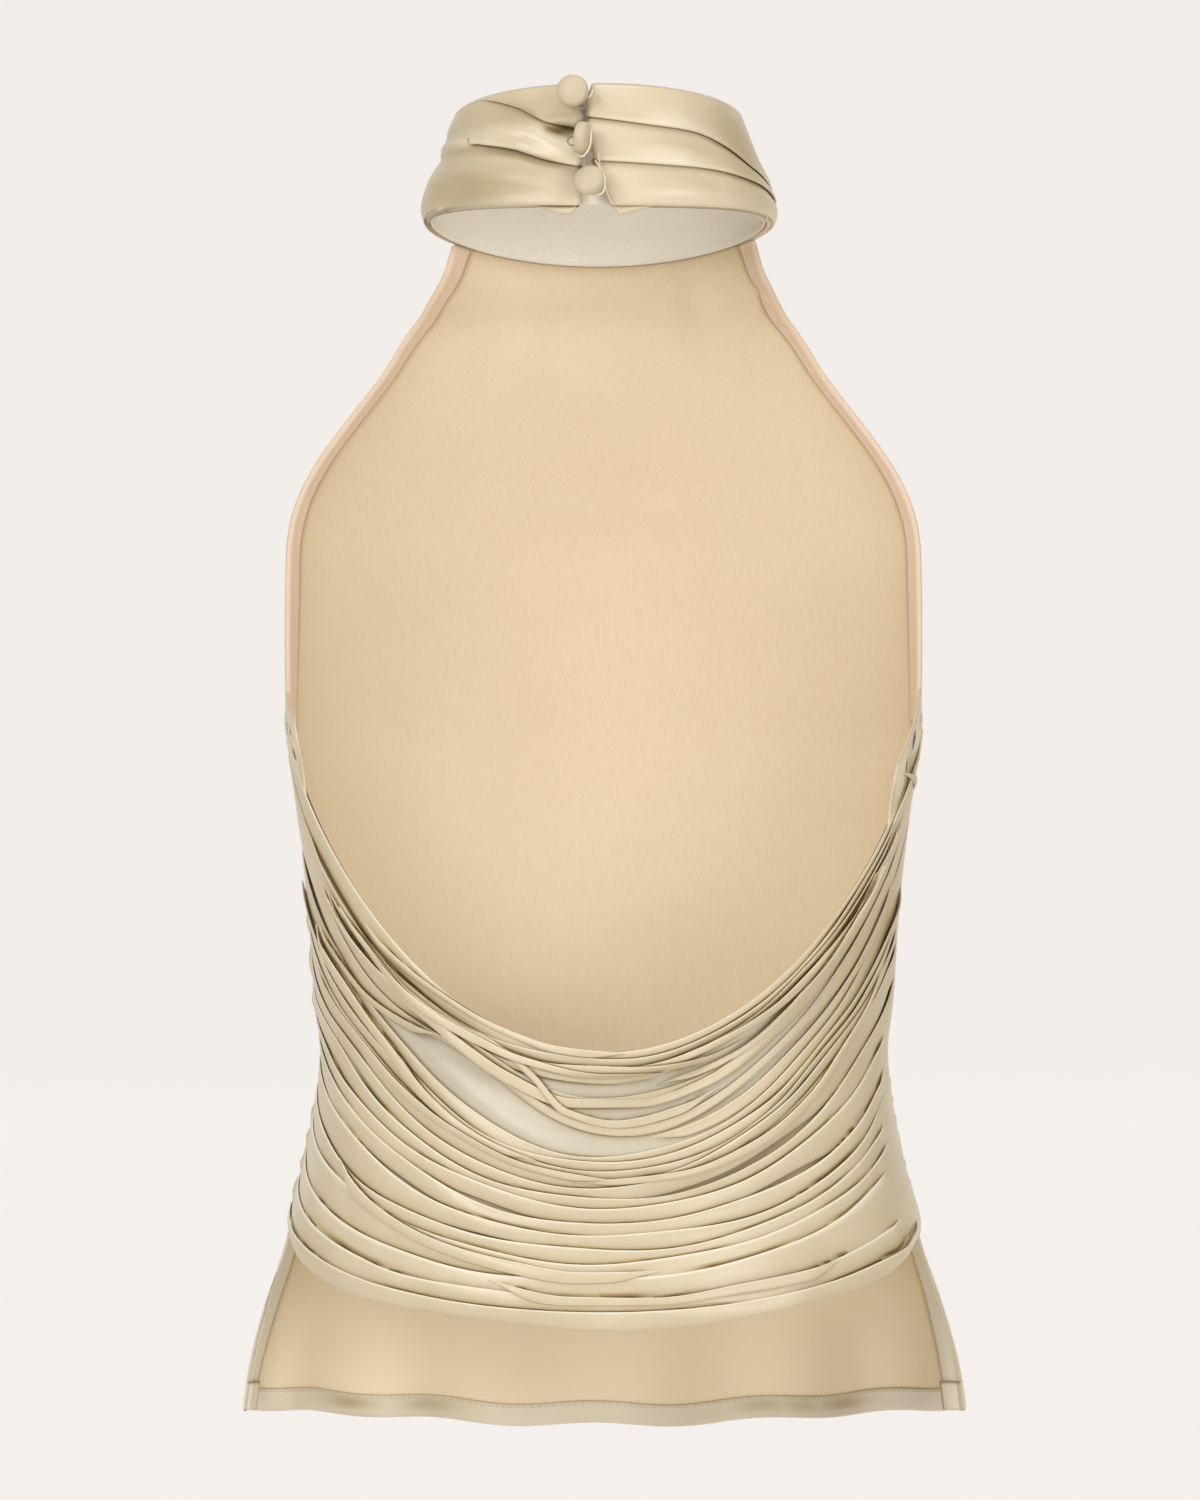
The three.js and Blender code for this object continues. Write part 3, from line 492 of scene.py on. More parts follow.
# Painted highlights on the collar, in the same form
collarLights = [
    (((-75, 11.5), (-70, 13.8), (-62, 14.6), (-50, 13.2)), 0.95, 1.5),
    (((-56, 18), (-44, 19.5), (-33, 19.3), (-25, 14.5), (-15, 7.5)), 0.7, 2.6),
    (((-27, 21.6), (-18, 22.6), (-9, 22.4)), 0.7, 1.1),
    (((-74, -14.6), (-50, -15.6), (-8, -15.6)), 0.6, 1.5),
    (((20, 24), (34, 23), (46, 18)), 0.5, 3.2),
    (((10, 6), (26, 7), (44, 4)), 0.5, 3.6),
]
# Up one tier of the collar: the share of its height and of how far its lower edge stands out.
tierProfile = (
    (0.16, 0.02), (0.04, 0.25), (-0.02, 0.6), (-0.02, 0.9), (0.03, 1.0), (0.12, 0.96), (0.24, 0.85),
    (0.38, 0.7), (0.52, 0.52), (0.66, 0.36), (0.8, 0.2), (0.92, 0.08), (1.0, 0.0),
)


def collarBand():
    shares = np.linspace(0, 1, collar["columns"] + 1)
    turns = shares * collar["roundTurn"]
    lines = [np.zeros_like(shares), lowerPleatAt(turns), upperPleatAt(turns), np.ones_like(shares)]
    standOut = [lowerOutAt(turns), lowerOutAt(turns), upperOutAt(turns)]
    rows, shades, edges = [], [], []
    for tier in range(3):
        low, high = lines[tier], lines[tier + 1]
        folded = smooth(standOut[tier], *collar["foldStands"]) if tier > 0 else 1
        overhangs = smooth(standOut[tier], *collar["shadeStands"]) * (tier > 0)
        underNext = smooth(standOut[min(tier + 1, 2)], *collar["shadeStands"]) * (tier < 2)
        for step, (up, out) in enumerate(tierProfile):
            if tier == 0 and up < collar["lowestUp"]:
                continue
            height = mix(low, high, mix((step + 1) / len(tierProfile), up, folded))
            full = np.sin(math.pi * max(up, 0)) * collar["fullness"]
            reach = collar["wall"] + standOut[tier] * out + full * smooth(high - low, 0, 0.2)
            point = collarPoint(shares, height, reach)
            behind = smooth(point[:, 1], *collar["behind"])
            lie, tone, glint = [foldHeights(point[:, 0], point[:, 2], folds) * behind
                                for folds in (collarFolds, collarShades, collarLights)]
            rows.append(collarPoint(shares, height, reach + lie * min(1, out + 0.8)))
            # Painted shade under the next tier and in the tucks, painted highlights on the lips and from
            # collarLights
            topGap = (1 - up) * (high - low) * collar["tierScale"]
            under = collar["underTier"] * np.exp(-topGap / collar["tierFade"]) * underNext
            tucked = collar["tucked"] * overhangs * (up < 0.2 and out < 0.5)
            shades.append(np.clip(np.maximum(under, tucked) + tone, 0, collar["darkest"]))
            lip = collar["lip"] * overhangs * (0.55 < out <= 1 and up < 0.1)
            edges.append(np.maximum(lip, glint))
    outer = np.array(rows)
    inner = np.array([collarPoint(shares, up, 0.0) for up in np.linspace(0.0, 1.0, len(rows))])
    return clothWall("collar_band_satin", inner, outer, [satinFinish], np.array(shades), None,
                     np.array(edges))


liningCut = {"columns": 220, "rows": 26, "fromUp": 0.012, "toUp": 0.983, "ripple": 0.25}
standCut = {"columns": 26, "rows": 20, "fromUp": 0.03, "toUp": 0.95, "fromX": -22, "toX": 10, "wall": 1.0}


def collarLining():
    shares = np.linspace(0, 1, liningCut["columns"])
    ups = np.linspace(liningCut["fromUp"], liningCut["toUp"], liningCut["rows"])[:, None]
    near = collar["liningGap"]
    ripple = liningCut["ripple"] * np.sin(shares * 47 + 5 * ups) * np.sin(math.pi * ups)
    inner = collarPoint(shares, ups, -near - collar["liningWall"] + ripple)
    outer = collarPoint(shares, ups, np.full_like(ripple, -near))
    return clothWall("collar_lining_crepe", inner, outer, [liningFinish])


def buttonStand():
    outermost = -2 * collar["liningGap"] - collar["liningWall"]
    ups = np.linspace(standCut["fromUp"], standCut["toUp"], standCut["rows"])[:, None]
    turns = napeTurn(np.linspace(standCut["fromX"], standCut["toX"], standCut["columns"]), ups)
    inner = collarRing(turns, ups, outermost - standCut["wall"])
    outer = collarRing(turns, ups, outermost)
    return clothWall("button_stand_crepe", inner, outer, [liningFinish])


band = collarBand()
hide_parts("collar_band")
lining = collarLining()
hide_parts("collar_lining")
stand = buttonStand()
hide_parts("button_stand")


# A small folded flap that hangs under the band's lower edge beside the opening.
flapTop = 0.015


def cornerFlap(name, flap):
    x = np.linspace(flap["fromX"], flap["toX"], 25)
    down = np.linspace(0, 1, 9)[:, None]
    across = np.linspace(0, 1, 25)
    drop = flap["drop"] * np.interp(across, flap["at"], flap["share"])
    turn = napeTurn(x, 0)
    up = flapTop - down * drop / collar["height"]
    lift = flap["curl"] * np.sin(math.pi * down) * np.ones_like(x)
    inner = collarRing(turn, up, flap["out"] + lift)
    outer = collarRing(turn, up, flap["out"] + flap["wall"] + lift)
    # Painted shade along the flap's top, under the band's edge
    shade = flap["dark"] * np.exp(-down / 0.18) * np.ones_like(x)
    return clothWall(name, inner, outer, [satinFinish], shade)


cornerFlaps = (
    {"name": "band_corner_right", "fromX": 4.4, "toX": 21, "drop": 3.8, "at": (0, 0.12, 1),
     "share": (0.25, 1, 0.05), "out": 1.5, "wall": 1.0, "curl": 0.5, "dark": 0.55},
    {"name": "band_corner_left", "fromX": -30, "toX": -12.2, "drop": 3.6, "at": (0, 0.55, 0.85, 1),
     "share": (0.05, 0.8, 1, 0.55), "out": 1.2, "wall": 1.0, "curl": 0.9, "dark": 0.75},
)
for flap in cornerFlaps:
    piece = cornerFlap(flap["name"] + "_satin", flap)
print("collar made")


# Front panel: the matte wrong side faces the back, the satin side faces out
panel = {
    "neckZ": -30, "hemZ": -560, "wall": 1.5, "slitWall": 0.5, "columns": 190, "rows": 150,
    "hemRise": 6.5, "hemDip": 8.0, "dipSharpness": 2.8, "neckBlend": 34, "downPower": 1.25,
    "waves": 6.5, "waveDepth": 4.5, "waveHeight": 1.4, "waveFades": 75,
    "thinSide": (0.94, 0.99), "thinDown": (-466, -478),
    "roll": 1.3, "rollSide": 0.93, "rollFrom": (-231, -243), "rollTo": (-474, -462),
}
# Painted shade and light on the panel: how dark the shadow lines beside its trims, its edges and the cloth
# under straps and collar are, how far each of them reaches, and how pale the cloth gets below the straps and
# at the left
panelTone = {
    "seam": 0.24, "seamOff": 0.8, "seamReach": 1.6, "edge": 0.2, "edgeReach": 22,
    "straps": 0.08, "strapsZ": -488, "strapsReach": 12, "collar": 0.16, "collarReach": 9,
    "paleHem": 0.55, "paleLeft": 0.35,
}
panelFolds = [
    (((-44, -42), (-34, -58), (-30, -80)), -2.0, 8),
    (((38, -40), (44, -54), (46, -74)), -1.8, 7),
    (((-10, -130), (2, -170), (16, -215)), 1.6, 22),
    (((30, -120), (18, -160), (2, -200)), 1.3, 18),
    (((-80, -190), (-60, -250), (-50, -300)), -1.2, 22),
    (((60, -230), (44, -290), (24, -330)), 1.2, 20),
    (((-60, -330), (-20, -350), (30, -352)), 1.0, 16),
]


def neckJoinPoint(x):
    share = np.clip((x - collar["centreX"]) / (collarHalfWidthAt(0) + 0.2), -0.999, 0.999)
    point = collarRing(180 - np.degrees(np.arcsin(share)), 0, 0.2)
    return point - (0, 0, seamGap)


def panelHeight(down):
    return mix(panel["neckZ"], panel["hemZ"], np.maximum(down, 0) ** panel["downPower"])


# side runs from -1 to 1 across the panel and down from 0 at the neck to 1 at the hem.
def panelPoint(side, down):
    angle = np.clip(side, -1.02, 1.02) * math.pi / 2
    height = panelHeight(down)
    across = np.sin(angle)
    toFront = np.maximum(np.cos(angle), 0)
    x = halfWidthAt(height) * across
    y = mix(edgeYAt(height), frontYAt(height), toFront ** roundnessAt(height))
    join = neckJoinPoint(x)
    atNeck = 1 - smooth(panel["neckZ"] - height, 0, panel["neckBlend"])
    y = mix(y, join[..., 1], atNeck)
    z = mix(height, join[..., 2] + height - panel["neckZ"], atNeck)
    atHem = smooth(height, panel["hemZ"] + panel["waveFades"], panel["hemZ"])
    phase = panel["waves"] * math.pi * side
    wave = np.sin(phase) * toFront ** 0.5
    dip = (panel["hemRise"] + panel["hemDip"]) * toFront ** panel["dipSharpness"]
    z = z + atHem * (panel["hemRise"] - dip)
    z = z + atHem * panel["waveHeight"] * np.cos(phase + 0.6) * toFront
    x = x + atHem * wave * panel["waveDepth"] * across * 0.5
    y = y + atHem * wave * panel["waveDepth"]
    return np.stack(np.broadcast_arrays(x, y, z), axis=-1)


def panelSpot(side, down, out):
    normal = outwardNormals(panelPoint, side, down, seamY)
    point = panelPoint(side, down)
    soft = foldHeights(point[..., 0], point[..., 2], panelFolds)
    return point + normal * (np.asarray(out) + soft)[..., None]


# Small scallops where the strap ends gather the side seams, one row for each stretch.
seamScallops = (
    {"side": 1, "fromZ": -400, "toZ": -452, "pitch": 7.6, "depth": 1.1},
    {"side": -1, "fromZ": -418, "toZ": -462, "pitch": 11.5, "depth": 1.5},
    {"side": -1, "fromZ": -330, "toZ": -372, "pitch": 19, "depth": 1.4},
)


# The wall gets thin toward the slit edges, which are folded over it.
def panelWallAt(side, down):
    height = panelHeight(down)
    thin = smooth(np.abs(side), *panel["thinSide"]) * smooth(height, *panel["thinDown"])
    return mix(panel["wall"], panel["slitWall"], thin)


def frontPanel():
    side = np.linspace(-1, 1, panel["columns"] + 1)[None, :]
    side = 0.6 * side + 0.4 * np.sin(side * math.pi / 2)
    down = np.linspace(0, 1, panel["rows"] + 1)[:, None]
    height = panelHeight(down)
    roll = smooth(np.abs(side), panel["rollSide"], 1)
    roll = roll * smooth(height, *panel["rollFrom"]) * smooth(height, *panel["rollTo"])
    for row in seamScallops:
        inside = smooth(height, row["fromZ"] + 6, row["fromZ"] - 2)
        inside = inside * smooth(height, row["toZ"] - 6, row["toZ"] + 2)
        bumps = np.abs(np.sin(math.pi * height / row["pitch"])) * row["depth"]
        roll = roll + bumps * inside * smooth(side * row["side"], panel["rollSide"], 1)
    inner = panelSpot(side, down, np.zeros_like(roll))
    outer = panelSpot(side, down, panelWallAt(side, down) + panel["roll"] * roll)
    # Painted shade: a shadow line beside the bindings and side facings, darker cloth near the edges and under
    # straps and collar
    fromLeft = lengthsAlong(inner, 1)
    fromEdge = np.minimum(fromLeft, fromLeft[:, -1:] - fromLeft)
    beside = np.where(height > -246, bindingWidthAt(height), np.where(height < -474, 9.0, -20))
    fromTrimShadow = (fromEdge - beside - panelTone["seamOff"]) / panelTone["seamReach"]
    seamLine = panelTone["seam"] * np.exp(-fromTrimShadow ** 2)
    softEdge = panelTone["edge"] * np.exp(-fromEdge / panelTone["edgeReach"]) * smooth(height, -60, -160)
    fromStraps = np.abs(height - panelTone["strapsZ"]) / panelTone["strapsReach"]
    underStraps = panelTone["straps"] * np.exp(-fromStraps)
    underCollar = panelTone["collar"] * np.exp(-(panel["neckZ"] - height) / panelTone["collarReach"])
    shadow = np.clip(seamLine + softEdge + underStraps + underCollar, 0, 1)
    # Painted light: paler cloth below the straps and at the left
    pale = panelTone["paleHem"] * smooth(height, -462, -490)
    pale = pale + panelTone["paleLeft"] * smooth(-side, 0.15, 0.7) * smooth(height, -120, -240)
    return clothWall("front_panel_cloth", inner, outer, [crepeFinish, satinFinish], None, shadow, None,
                     np.clip(pale, 0, 0.9))


def panelAt(side, down):
    return panelPoint(np.array([side]), np.array([down]))[0]


# How much of the panel's side coordinate a width in millimetres takes at one height.
def sideShare(sign, down, width):
    reach, step, most = 0.0, 0.002, 0.3
    edge = panelAt(sign * 1.0, down)
    while reach < most:
        reach += step
        if np.linalg.norm(panelAt(sign * (1 - reach), down) - edge) >= width:
            break
    return reach


def downAt(z):
    return ((panel["neckZ"] - z) / (panel["neckZ"] - panel["hemZ"])) ** (1 / panel["downPower"])


armholeBinding = {"fromZ": -31, "toZ": -243, "stations": 70, "wall": 0.8}
bindingWidthAt = curveThrough((-243, -200, -160, -120, -80, -50, -31), (7.5, 8.5, 7.5, 6.0, 5.6, 7.5, 9.0))
sideFacing = {"fromZ": -474, "toZ": -559, "stations": 30, "wall": 0.7, "width": 9.0}
# The hem's patches of painted shade: where along it, how far each reaches and how dark it is
hemFacing = {
    "height": 8.6, "stations": 150, "wall": 0.8,
    "patches": ((-0.51, 0.06, 0.4), (-0.34, 0.06, 0.3), (0.3, 0.05, 0.3), (0.38, 0.05, 0.26),
                (0.48, 0.06, 0.4)),
}
facingLift = 0.1
hemDown = 0.9995


# A rounded flat strip on the inside of the panel, between pairs of spots on it.
def stripBetween(name, pairs, wall, lift, finish, dark, wrap=0, topDark=0, patches=()):
    across = 14
    pairs = np.array(pairs, float)
    first, second = pairs[:, 0], pairs[:, 1]
    fromFold = np.linspace(0, 1, across + 1) ** 1.6
    shares = np.concatenate((fromFold, fromFold[::-1]))
    faces = np.concatenate((np.zeros(across + 1), np.ones(across + 1)))
    full = np.minimum(1.0, 4 * shares * (1 - shares) * 2.2 + 0.25) ** 0.5
    side = mix(first[:, :1], second[:, :1], shares[None, :])
    down = mix(first[:, 1:], second[:, 1:], shares[None, :])
    wrapped = (1 - smooth(shares, 0, 0.11)) * wrap
    foldWall = panelWallAt(first[:, :1], first[:, 1:])
    out = -lift - wall * full * faces + wrapped * (1 - faces) * (foldWall + 0.4) + 0 * side
    sections = panelSpot(side, down, out)
    away = unit(panelPoint(first[:, 0], first[:, 1]) - panelPoint(second[:, 0], second[:, 1]))
    sections = sections + away[:, None, :] * (wrapped * mix(1.1, 1.5, faces))[None, :, None]
    # Painted shade along the strip's inner edge away from the fold, at its top end and in the given patches
    shade = np.zeros(sections.shape[:2])
    shade[:, across:across + 2] = dark
    shade[-1] = np.maximum(shade[-1], topDark)
    for at, reach, depth in patches:
        patch = depth * np.exp(-((first[:, :1] - at) / reach) ** 2)
        shade = np.maximum(shade, patch * np.sin(math.pi * np.clip(shares, 0.1, 0.9)))
    if wrap:
        turned = np.linspace(0, 1, 6)[None, 1:-1, None]
        rim = mix(sections[:, -1:], sections[:, :1], turned)
        rim = rim + away[:, None, :] * np.sin(math.pi * turned) * 0.7
        sections = np.concatenate((sections, rim), axis=1)
        shade = np.concatenate((shade, np.zeros(rim.shape[:2])), axis=1)
    return clothStrip(name, sections, [finish], shade)


def sideStrip(name, sign, strip, widthAt, finish, dark):
    pairs = []
    for z in np.linspace(strip["fromZ"], strip["toZ"], strip["stations"]):
        down = downAt(z)
        share = sideShare(sign, down, float(widthAt(z)))
        pairs.append(((sign * 0.9985, down), (sign * (1 - share), down)))
    return stripBetween(name, pairs, strip["wall"], facingLift, finish, dark, 1)


def hemShare(side):
    above = 0.0195
    rise = panelAt(side, hemDown - above) - panelAt(side, hemDown)
    return hemFacing["height"] / np.linalg.norm(rise) * above


def hemStrip():
    pairs = []
    for side in np.linspace(-0.999, 0.999, hemFacing["stations"]):
        pairs.append(((side, hemDown), (side, hemDown - hemShare(side))))
    return stripBetween("hem_facing_satin", pairs, hemFacing["wall"], facingLift, litSatinFinish, 0.35, 1, 0,
                        hemFacing["patches"])


# The folded square at each lower corner, where the hem and the side facing meet.
cornerFold = {"width": 9.2, "height": 12.0, "wall": 1.0, "lift": 1.0}


def cornerTab(name, sign):
    pairs = []
    share = sideShare(sign, 0.985, cornerFold["width"])
    drop = hemShare(sign * 0.99) * cornerFold["height"] / hemFacing["height"]
    for step in np.linspace(-0.08, 1, 9):
        down = 1.0 - drop * step
        pairs.append(((sign, down), (sign * (1 - share), down)))
    return stripBetween(name, pairs, cornerFold["wall"], cornerFold["lift"], litSatinFinish, 0.6, 1.5, 0.6)


# Stitches: short thread dashes along a line of spots, all in one piece. pointAt gives a spot and
# the direction out of the cloth at a share of the line.
stitch = {
    "pitch": 2.3, "dash": 0.6, "thick": 0.34, "clear": 0.08, "fromSlit": 7.6, "upHem": 0.84,
    "hemSide": 0.94, "hemLength": 330, "slitFromZ": -484, "slitToZ": -549, "slitLength": 65,
}


def stitchRow(name, pointAt, lengthMm):
    count = int(lengthMm / stitch["pitch"])
    points, faces = [], []
    for i in range(count):
        ends = [pointAt((i + 0.5 + half * stitch["dash"] / 2) / count) for half in (-1, 1)]
        along = unit(ends[1][0] - ends[0][0])
        start = len(points)
        for spot, outward in ends:
            side = unit(np.cross(along, outward))
            for k in range(6):
                angle = k * math.pi / 3
                way = side * math.cos(angle) + outward * math.sin(angle)
                points.append(spot + way * stitch["thick"] / 2)
        for k in range(6):
            j = (k + 1) % 6
            faces.append([start + k, start + j, start + 6 + j, start + 6 + k])
        faces.append([start + k for k in range(5, -1, -1)])
        faces.append([start + 6 + k for k in range(6)])
    return newPiece(name, np.array(points), facingOut(np.array(points), faces), [stitchFinish])


def insidePoint(side, down, depth):
    spot = panelSpot(np.array([side]), np.array([down]), np.array([-depth]))[0]
    base = panelSpot(np.array([side]), np.array([down]), np.array([0.0]))[0]
    return spot, unit(spot - base)


def hemStitch(share):
    side = mix(-stitch["hemSide"], stitch["hemSide"], share)
    return insidePoint(side, hemDown - stitch["upHem"] * hemShare(side), hemFacing["wall"] + stitch["clear"])


def slitStitch(sign):
    def pointAt(share):
        down = downAt(mix(stitch["slitFromZ"], stitch["slitToZ"], share))
        side = sign * (1 - sideShare(sign, down, stitch["fromSlit"]))
        return insidePoint(side, down, sideFacing["wall"] + stitch["clear"])

    return pointAt


panelPiece = frontPanel()
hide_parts("front_panel")
panelTrims = []
for label, sign in (("left", -1), ("right", 1)):
    binding = sideStrip(f"armhole_binding_{label}_cloth", sign, armholeBinding, bindingWidthAt,
                        bindingFinish, 0.55)
    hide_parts(f"armhole_binding_{label}")
    facing = sideStrip(f"side_facing_{label}_satin", sign, sideFacing, lambda z: sideFacing["width"],
                       litSatinFinish, 0.35)
    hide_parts(f"side_facing_{label}")
    panelTrims += [binding, facing]
hem = hemStrip()
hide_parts("hem_facing")
panelTrims.append(hem)
for label, sign in (("left", -1), ("right", 1)):
    tab = cornerTab(f"hem_corner_{label}_satin", sign)
    slitStitches = stitchRow(f"slit_stitches_{label}", slitStitch(sign), stitch["slitLength"])
    panelTrims += [tab, slitStitches]
panelTrims.append(stitchRow("hem_stitches", hemStitch, stitch["hemLength"]))
print("front panel made")


# Back: straps laid one over another on a satin cowl, from side seam to side seam. Each row has the
# upper edge's height at the left seam, halfway, in the middle, halfway and at the right seam, and
# the strap's width
strapRows = (
    (-243, -332, -389.6, -333, -243, 7), (-259, -345, -392.9, -336, -247, 6),
    (-264, -350, -396.2, -339, -250, 6), (-263, -353, -399.0, -342, -254, 3.2),
    (-270, -358, -410.3, -348, -257, 5), (-279, -363, -421.6, -361, -263, 3.8),
    (-301, -376, -434.1, -379, -279, 6), (-315, -384, -437.6, -384, -306, 6.5),
    (-324, -388, -441.3, -388, -315, 6.5), (-333, -394, -443.7, -392, -324, 7),
    (-347, -405, -448.1, -398, -335, 7), (-360, -412, -453.6, -413, -351, 7),
    (-374, -420, -456.5, -421, -369, 8), (-384, -427, -463.5, -433, -383, 7.5),
    (-394, -436, -469.2, -441, -392, 7.5), (-406, -449, -474.9, -447, -402, 8),
    (-419, -455, -480.3, -453, -414, 10.5), (-434, -469, -487.6, -460, -430, 13.5),
    (-448, -478, -496.3, -478, -447, 8), (-460, -487, -501.7, -486, -459, 7),
)
strapKeys = ("left", "leftMid", "top", "rightMid", "right", "width")
straps = [dict(zip(strapKeys, row), name=f"strap_{place:02d}") for place, row in enumerate(strapRows, 1)]
# Two straps rise off their swag: at this turn, by this much, over this reach
straps[4]["bend"] = (-30, 10.5, 16)
straps[5]["bend"] = (-27, 14, 15)
# Fine straps that cross the others, each along its own path of turns and heights
finePaths = {
    "a": (4.0, ((-66, -322), (-50, -351), (-33, -376), (-18, -399), (-6, -409.5), (6, -410),
                (20, -401), (50, -346), (64, -311))),
    "b": (3.2, ((-62, -328), (-50, -345), (-38, -364), (-29, -377), (-21, -386), (-14, -398),
                (-7, -414), (2, -419), (16, -412), (24, -404))),
    "c": (3.4, ((-3, -398.5), (10, -394), (22, -384), (34, -369), (44, -353), (56, -330), (66, -307))),
    "d": (3.4, ((-76, -330), (-65, -348), (-55, -363), (-43, -375.5), (-33, -382))),
    "e": (2.8, ((-24, -387), (-8, -394.5), (6, -395.5), (20, -391.5), (33, -380))),
    "f": (4.2, ((8, -427), (18, -420), (28, -409), (38, -394), (50, -372), (64, -341), (76, -311))),
    "g": (4.0, ((-76, -334), (-66, -349), (-50, -381), (-36, -409), (-24, -426), (-12, -437))),
    "h": (4.0, ((-20, -488), (-6, -495), (8, -495.5), (24, -490), (36, -485.5), (46, -480.5))),
    "o": (3.4, ((-89, -238), (-83, -246), (-76, -262))),
    "p": (3.6, ((70, -291), (75, -277), (82, -262), (89, -250))),
    "q": (2.6, ((72, -266), (80, -268), (89, -276))),
    "j": (2.8, ((-56, -329), (-50, -340), (-34, -363), (-20, -379), (-8, -387), (6, -390))),
    "k": (3.0, ((-62, -325), (-46, -352), (-30, -376), (-16, -391), (0, -398.5), (12, -398))),
    "l": (2.8, ((10, -404), (28, -388), (44, -358), (60, -321), (66, -306))),
    "m": (3.2, ((-6, -446), (14, -441), (30, -428), (46, -406), (60, -378), (72, -350))),
    "n": (3.2, ((-78, -351), (-62, -376), (-46, -401), (-30, -422), (-14, -438), (2, -445))),
    "i": (4.6, ((-62, -437), (-46, -457), (-30, -472), (-16, -480), (-4, -484.5), (10, -484))),
}
fineStraps = [{"name": "fine_strap_" + letter, "width": width, "path": path}
              for letter, (width, path) in finePaths.items()]
allStraps = straps + fineStraps
strapLay = {
    "columns": 200, "midTurn": 50, "wall": 0.9, "gap": 0.1, "cowlWall": 1.0, "seat": 0.5,
    "crown": 0.5, "cell": 0.25, "topZ": -225, "bottomZ": -525, "restShare": 0.4,
    "lapBack": 1.75, "lapSeam": 1.15, "narrowest": 2.2, "wobble": 0.75, "sideSpread": 1.1,
}
# Painted shade: how dark the creases between straps are and how far they reach, and the straps' softer
# shading;
# also the darker lower part of each strap, the bundles and the right side, the cowl's painted shade, the fade
# at the seams, and how far the bundles dim the painted highlights
strapTone = {
    "crease": 0.8, "creaseReach": 0.42, "soft": 0.26, "softReach": 2.0, "gap": 0.95, "darkest": 0.95,
    "lowEdge": 0.08, "bundle": 0.07, "right": 0.1, "seamFade": 0.75, "bundleGlint": 0.3,
    "cowlCrease": 0.5, "cowlCovered": 0.5,
}
# Where the straps run into one smooth cloth: most of the right hand side, and the top of the left
merge = {
    "index": (0, 1, 3, 6, 7, 10, 14, 18, 19), "right": (120, 66, 69, 73, 77, 77, 68, 62, 72),
    "left": (120, 66, 62, 64, 120, 120, 120, 120, 120), "over": 7, "level": 2.4, "step": 0.03, "uneven": 2.0,
}

# Painted shade in gaps above single straps: the strap's place in the list, its first and last turn, the reach
strapGaps = ((1, -80, -46, 2.2), (6, -64, -50, 2.0), (7, -82, -64, 1.4), (4, 34, 50, 1.3), (5, 62, 77, 1.0),
             (4, 14, 32, 1.2), (10, -70, -54, 1.2))


def backPoint(turn, z, out):
    angle = np.radians(turn)
    halfWidth = halfWidthAt(z)
    depth = backDepthAt(z) + seamY
    normalX = np.sin(angle) * depth
    normalY = -np.cos(angle) * halfWidth
    length = np.hypot(normalX, normalY)
    x = halfWidth * np.sin(angle) + normalX / length * out
    y = seamY - seamGap - depth * np.cos(angle) + normalY / length * out
    return np.stack(np.broadcast_arrays(x, y, z), axis=-1)


# The height of a strap's upper edge at a turn round the back: a swag through the row's heights.
def swagTop(strap, turn):
    half = np.where(turn < 0, strap["leftMid"], strap["rightMid"])
    end = np.where(turn < 0, strap["left"], strap["right"])
    rise = 1 - np.cos(np.radians(turn))
    swell = np.sin(np.radians(turn)) ** 2
    riseAtMid = 1 - math.cos(math.radians(strapLay["midTurn"]))
    swellAtMid = math.sin(math.radians(strapLay["midTurn"])) ** 2
    swellHeight = (half - strap["top"] - riseAtMid * (end - strap["top"])) / (swellAtMid - riseAtMid)
    return strap["top"] + rise * (end - strap["top"] - swellHeight) + swell * swellHeight


# Straps wander a little along their length, each in its own way.
def strapWander(index, turn):
    calm = np.cos(np.radians(turn)) ** 0.5 * strapLay["wobble"]
    return calm * (np.sin(turn / 11.0 + 1.9 * index) + 0.6 * np.sin(turn / 5.3 + 3.1 * index))


def strapTops(turns):
    tops = []
    for index, strap in enumerate(straps):
        top = swagTop(strap, turns)
        if "bend" in strap:
            at, rise, reach = strap["bend"]
            top = top + rise * np.exp(-((turns - at) / reach) ** 2)
        if 0 < index < len(straps) - 1:
            top = top + strapWander(index, turns)
        tops.append(top)
    for strap in fineStraps:
        places, heights = zip(*strap["path"])
        tops.append(curveThrough(places, heights)(turns))
    return tops


# The stations that a strap runs over.
def strapSpan(strap, turns):
    if "path" not in strap:
        return np.arange(len(turns))
    return np.nonzero((turns >= strap["path"][0][0]) & (turns <= strap["path"][-1][0]))[0]


def strapHeights(turns, tops):
    heights = []
    for index, strap in enumerate(allStraps):
        points = backPoint(turns, tops[index], 0)
        run = np.gradient(points, axis=0)
        level = np.hypot(run[:, 0], run[:, 1])
        height = strap["width"] * np.hypot(level, run[:, 2]) / level
        height = height * (1 + 0.16 * np.sin(turns / 9.0 + 2.7 * index))
        if index < len(straps) - 1:
            height = height * (1 + strapLay["sideSpread"] * smooth(np.abs(turns), 30, 75))
            shown = tops[index] - tops[index + 1]
            lap = mix(strapLay["lapBack"], strapLay["lapSeam"], smooth(np.abs(turns), 45, 85))
            height = np.minimum(height, np.maximum(lap * shown, strapLay["narrowest"]))
        if "path" in strap:
            span = strapSpan(strap, turns)
            fromEnd = np.minimum(turns - turns[span[0]], turns[span[-1]] - turns)
            height = np.clip(height, 0, 1.8 * strap["width"]) * mix(0.2, 1, smooth(fromEnd, 0, 9))
        heights.append(height)
    return heights


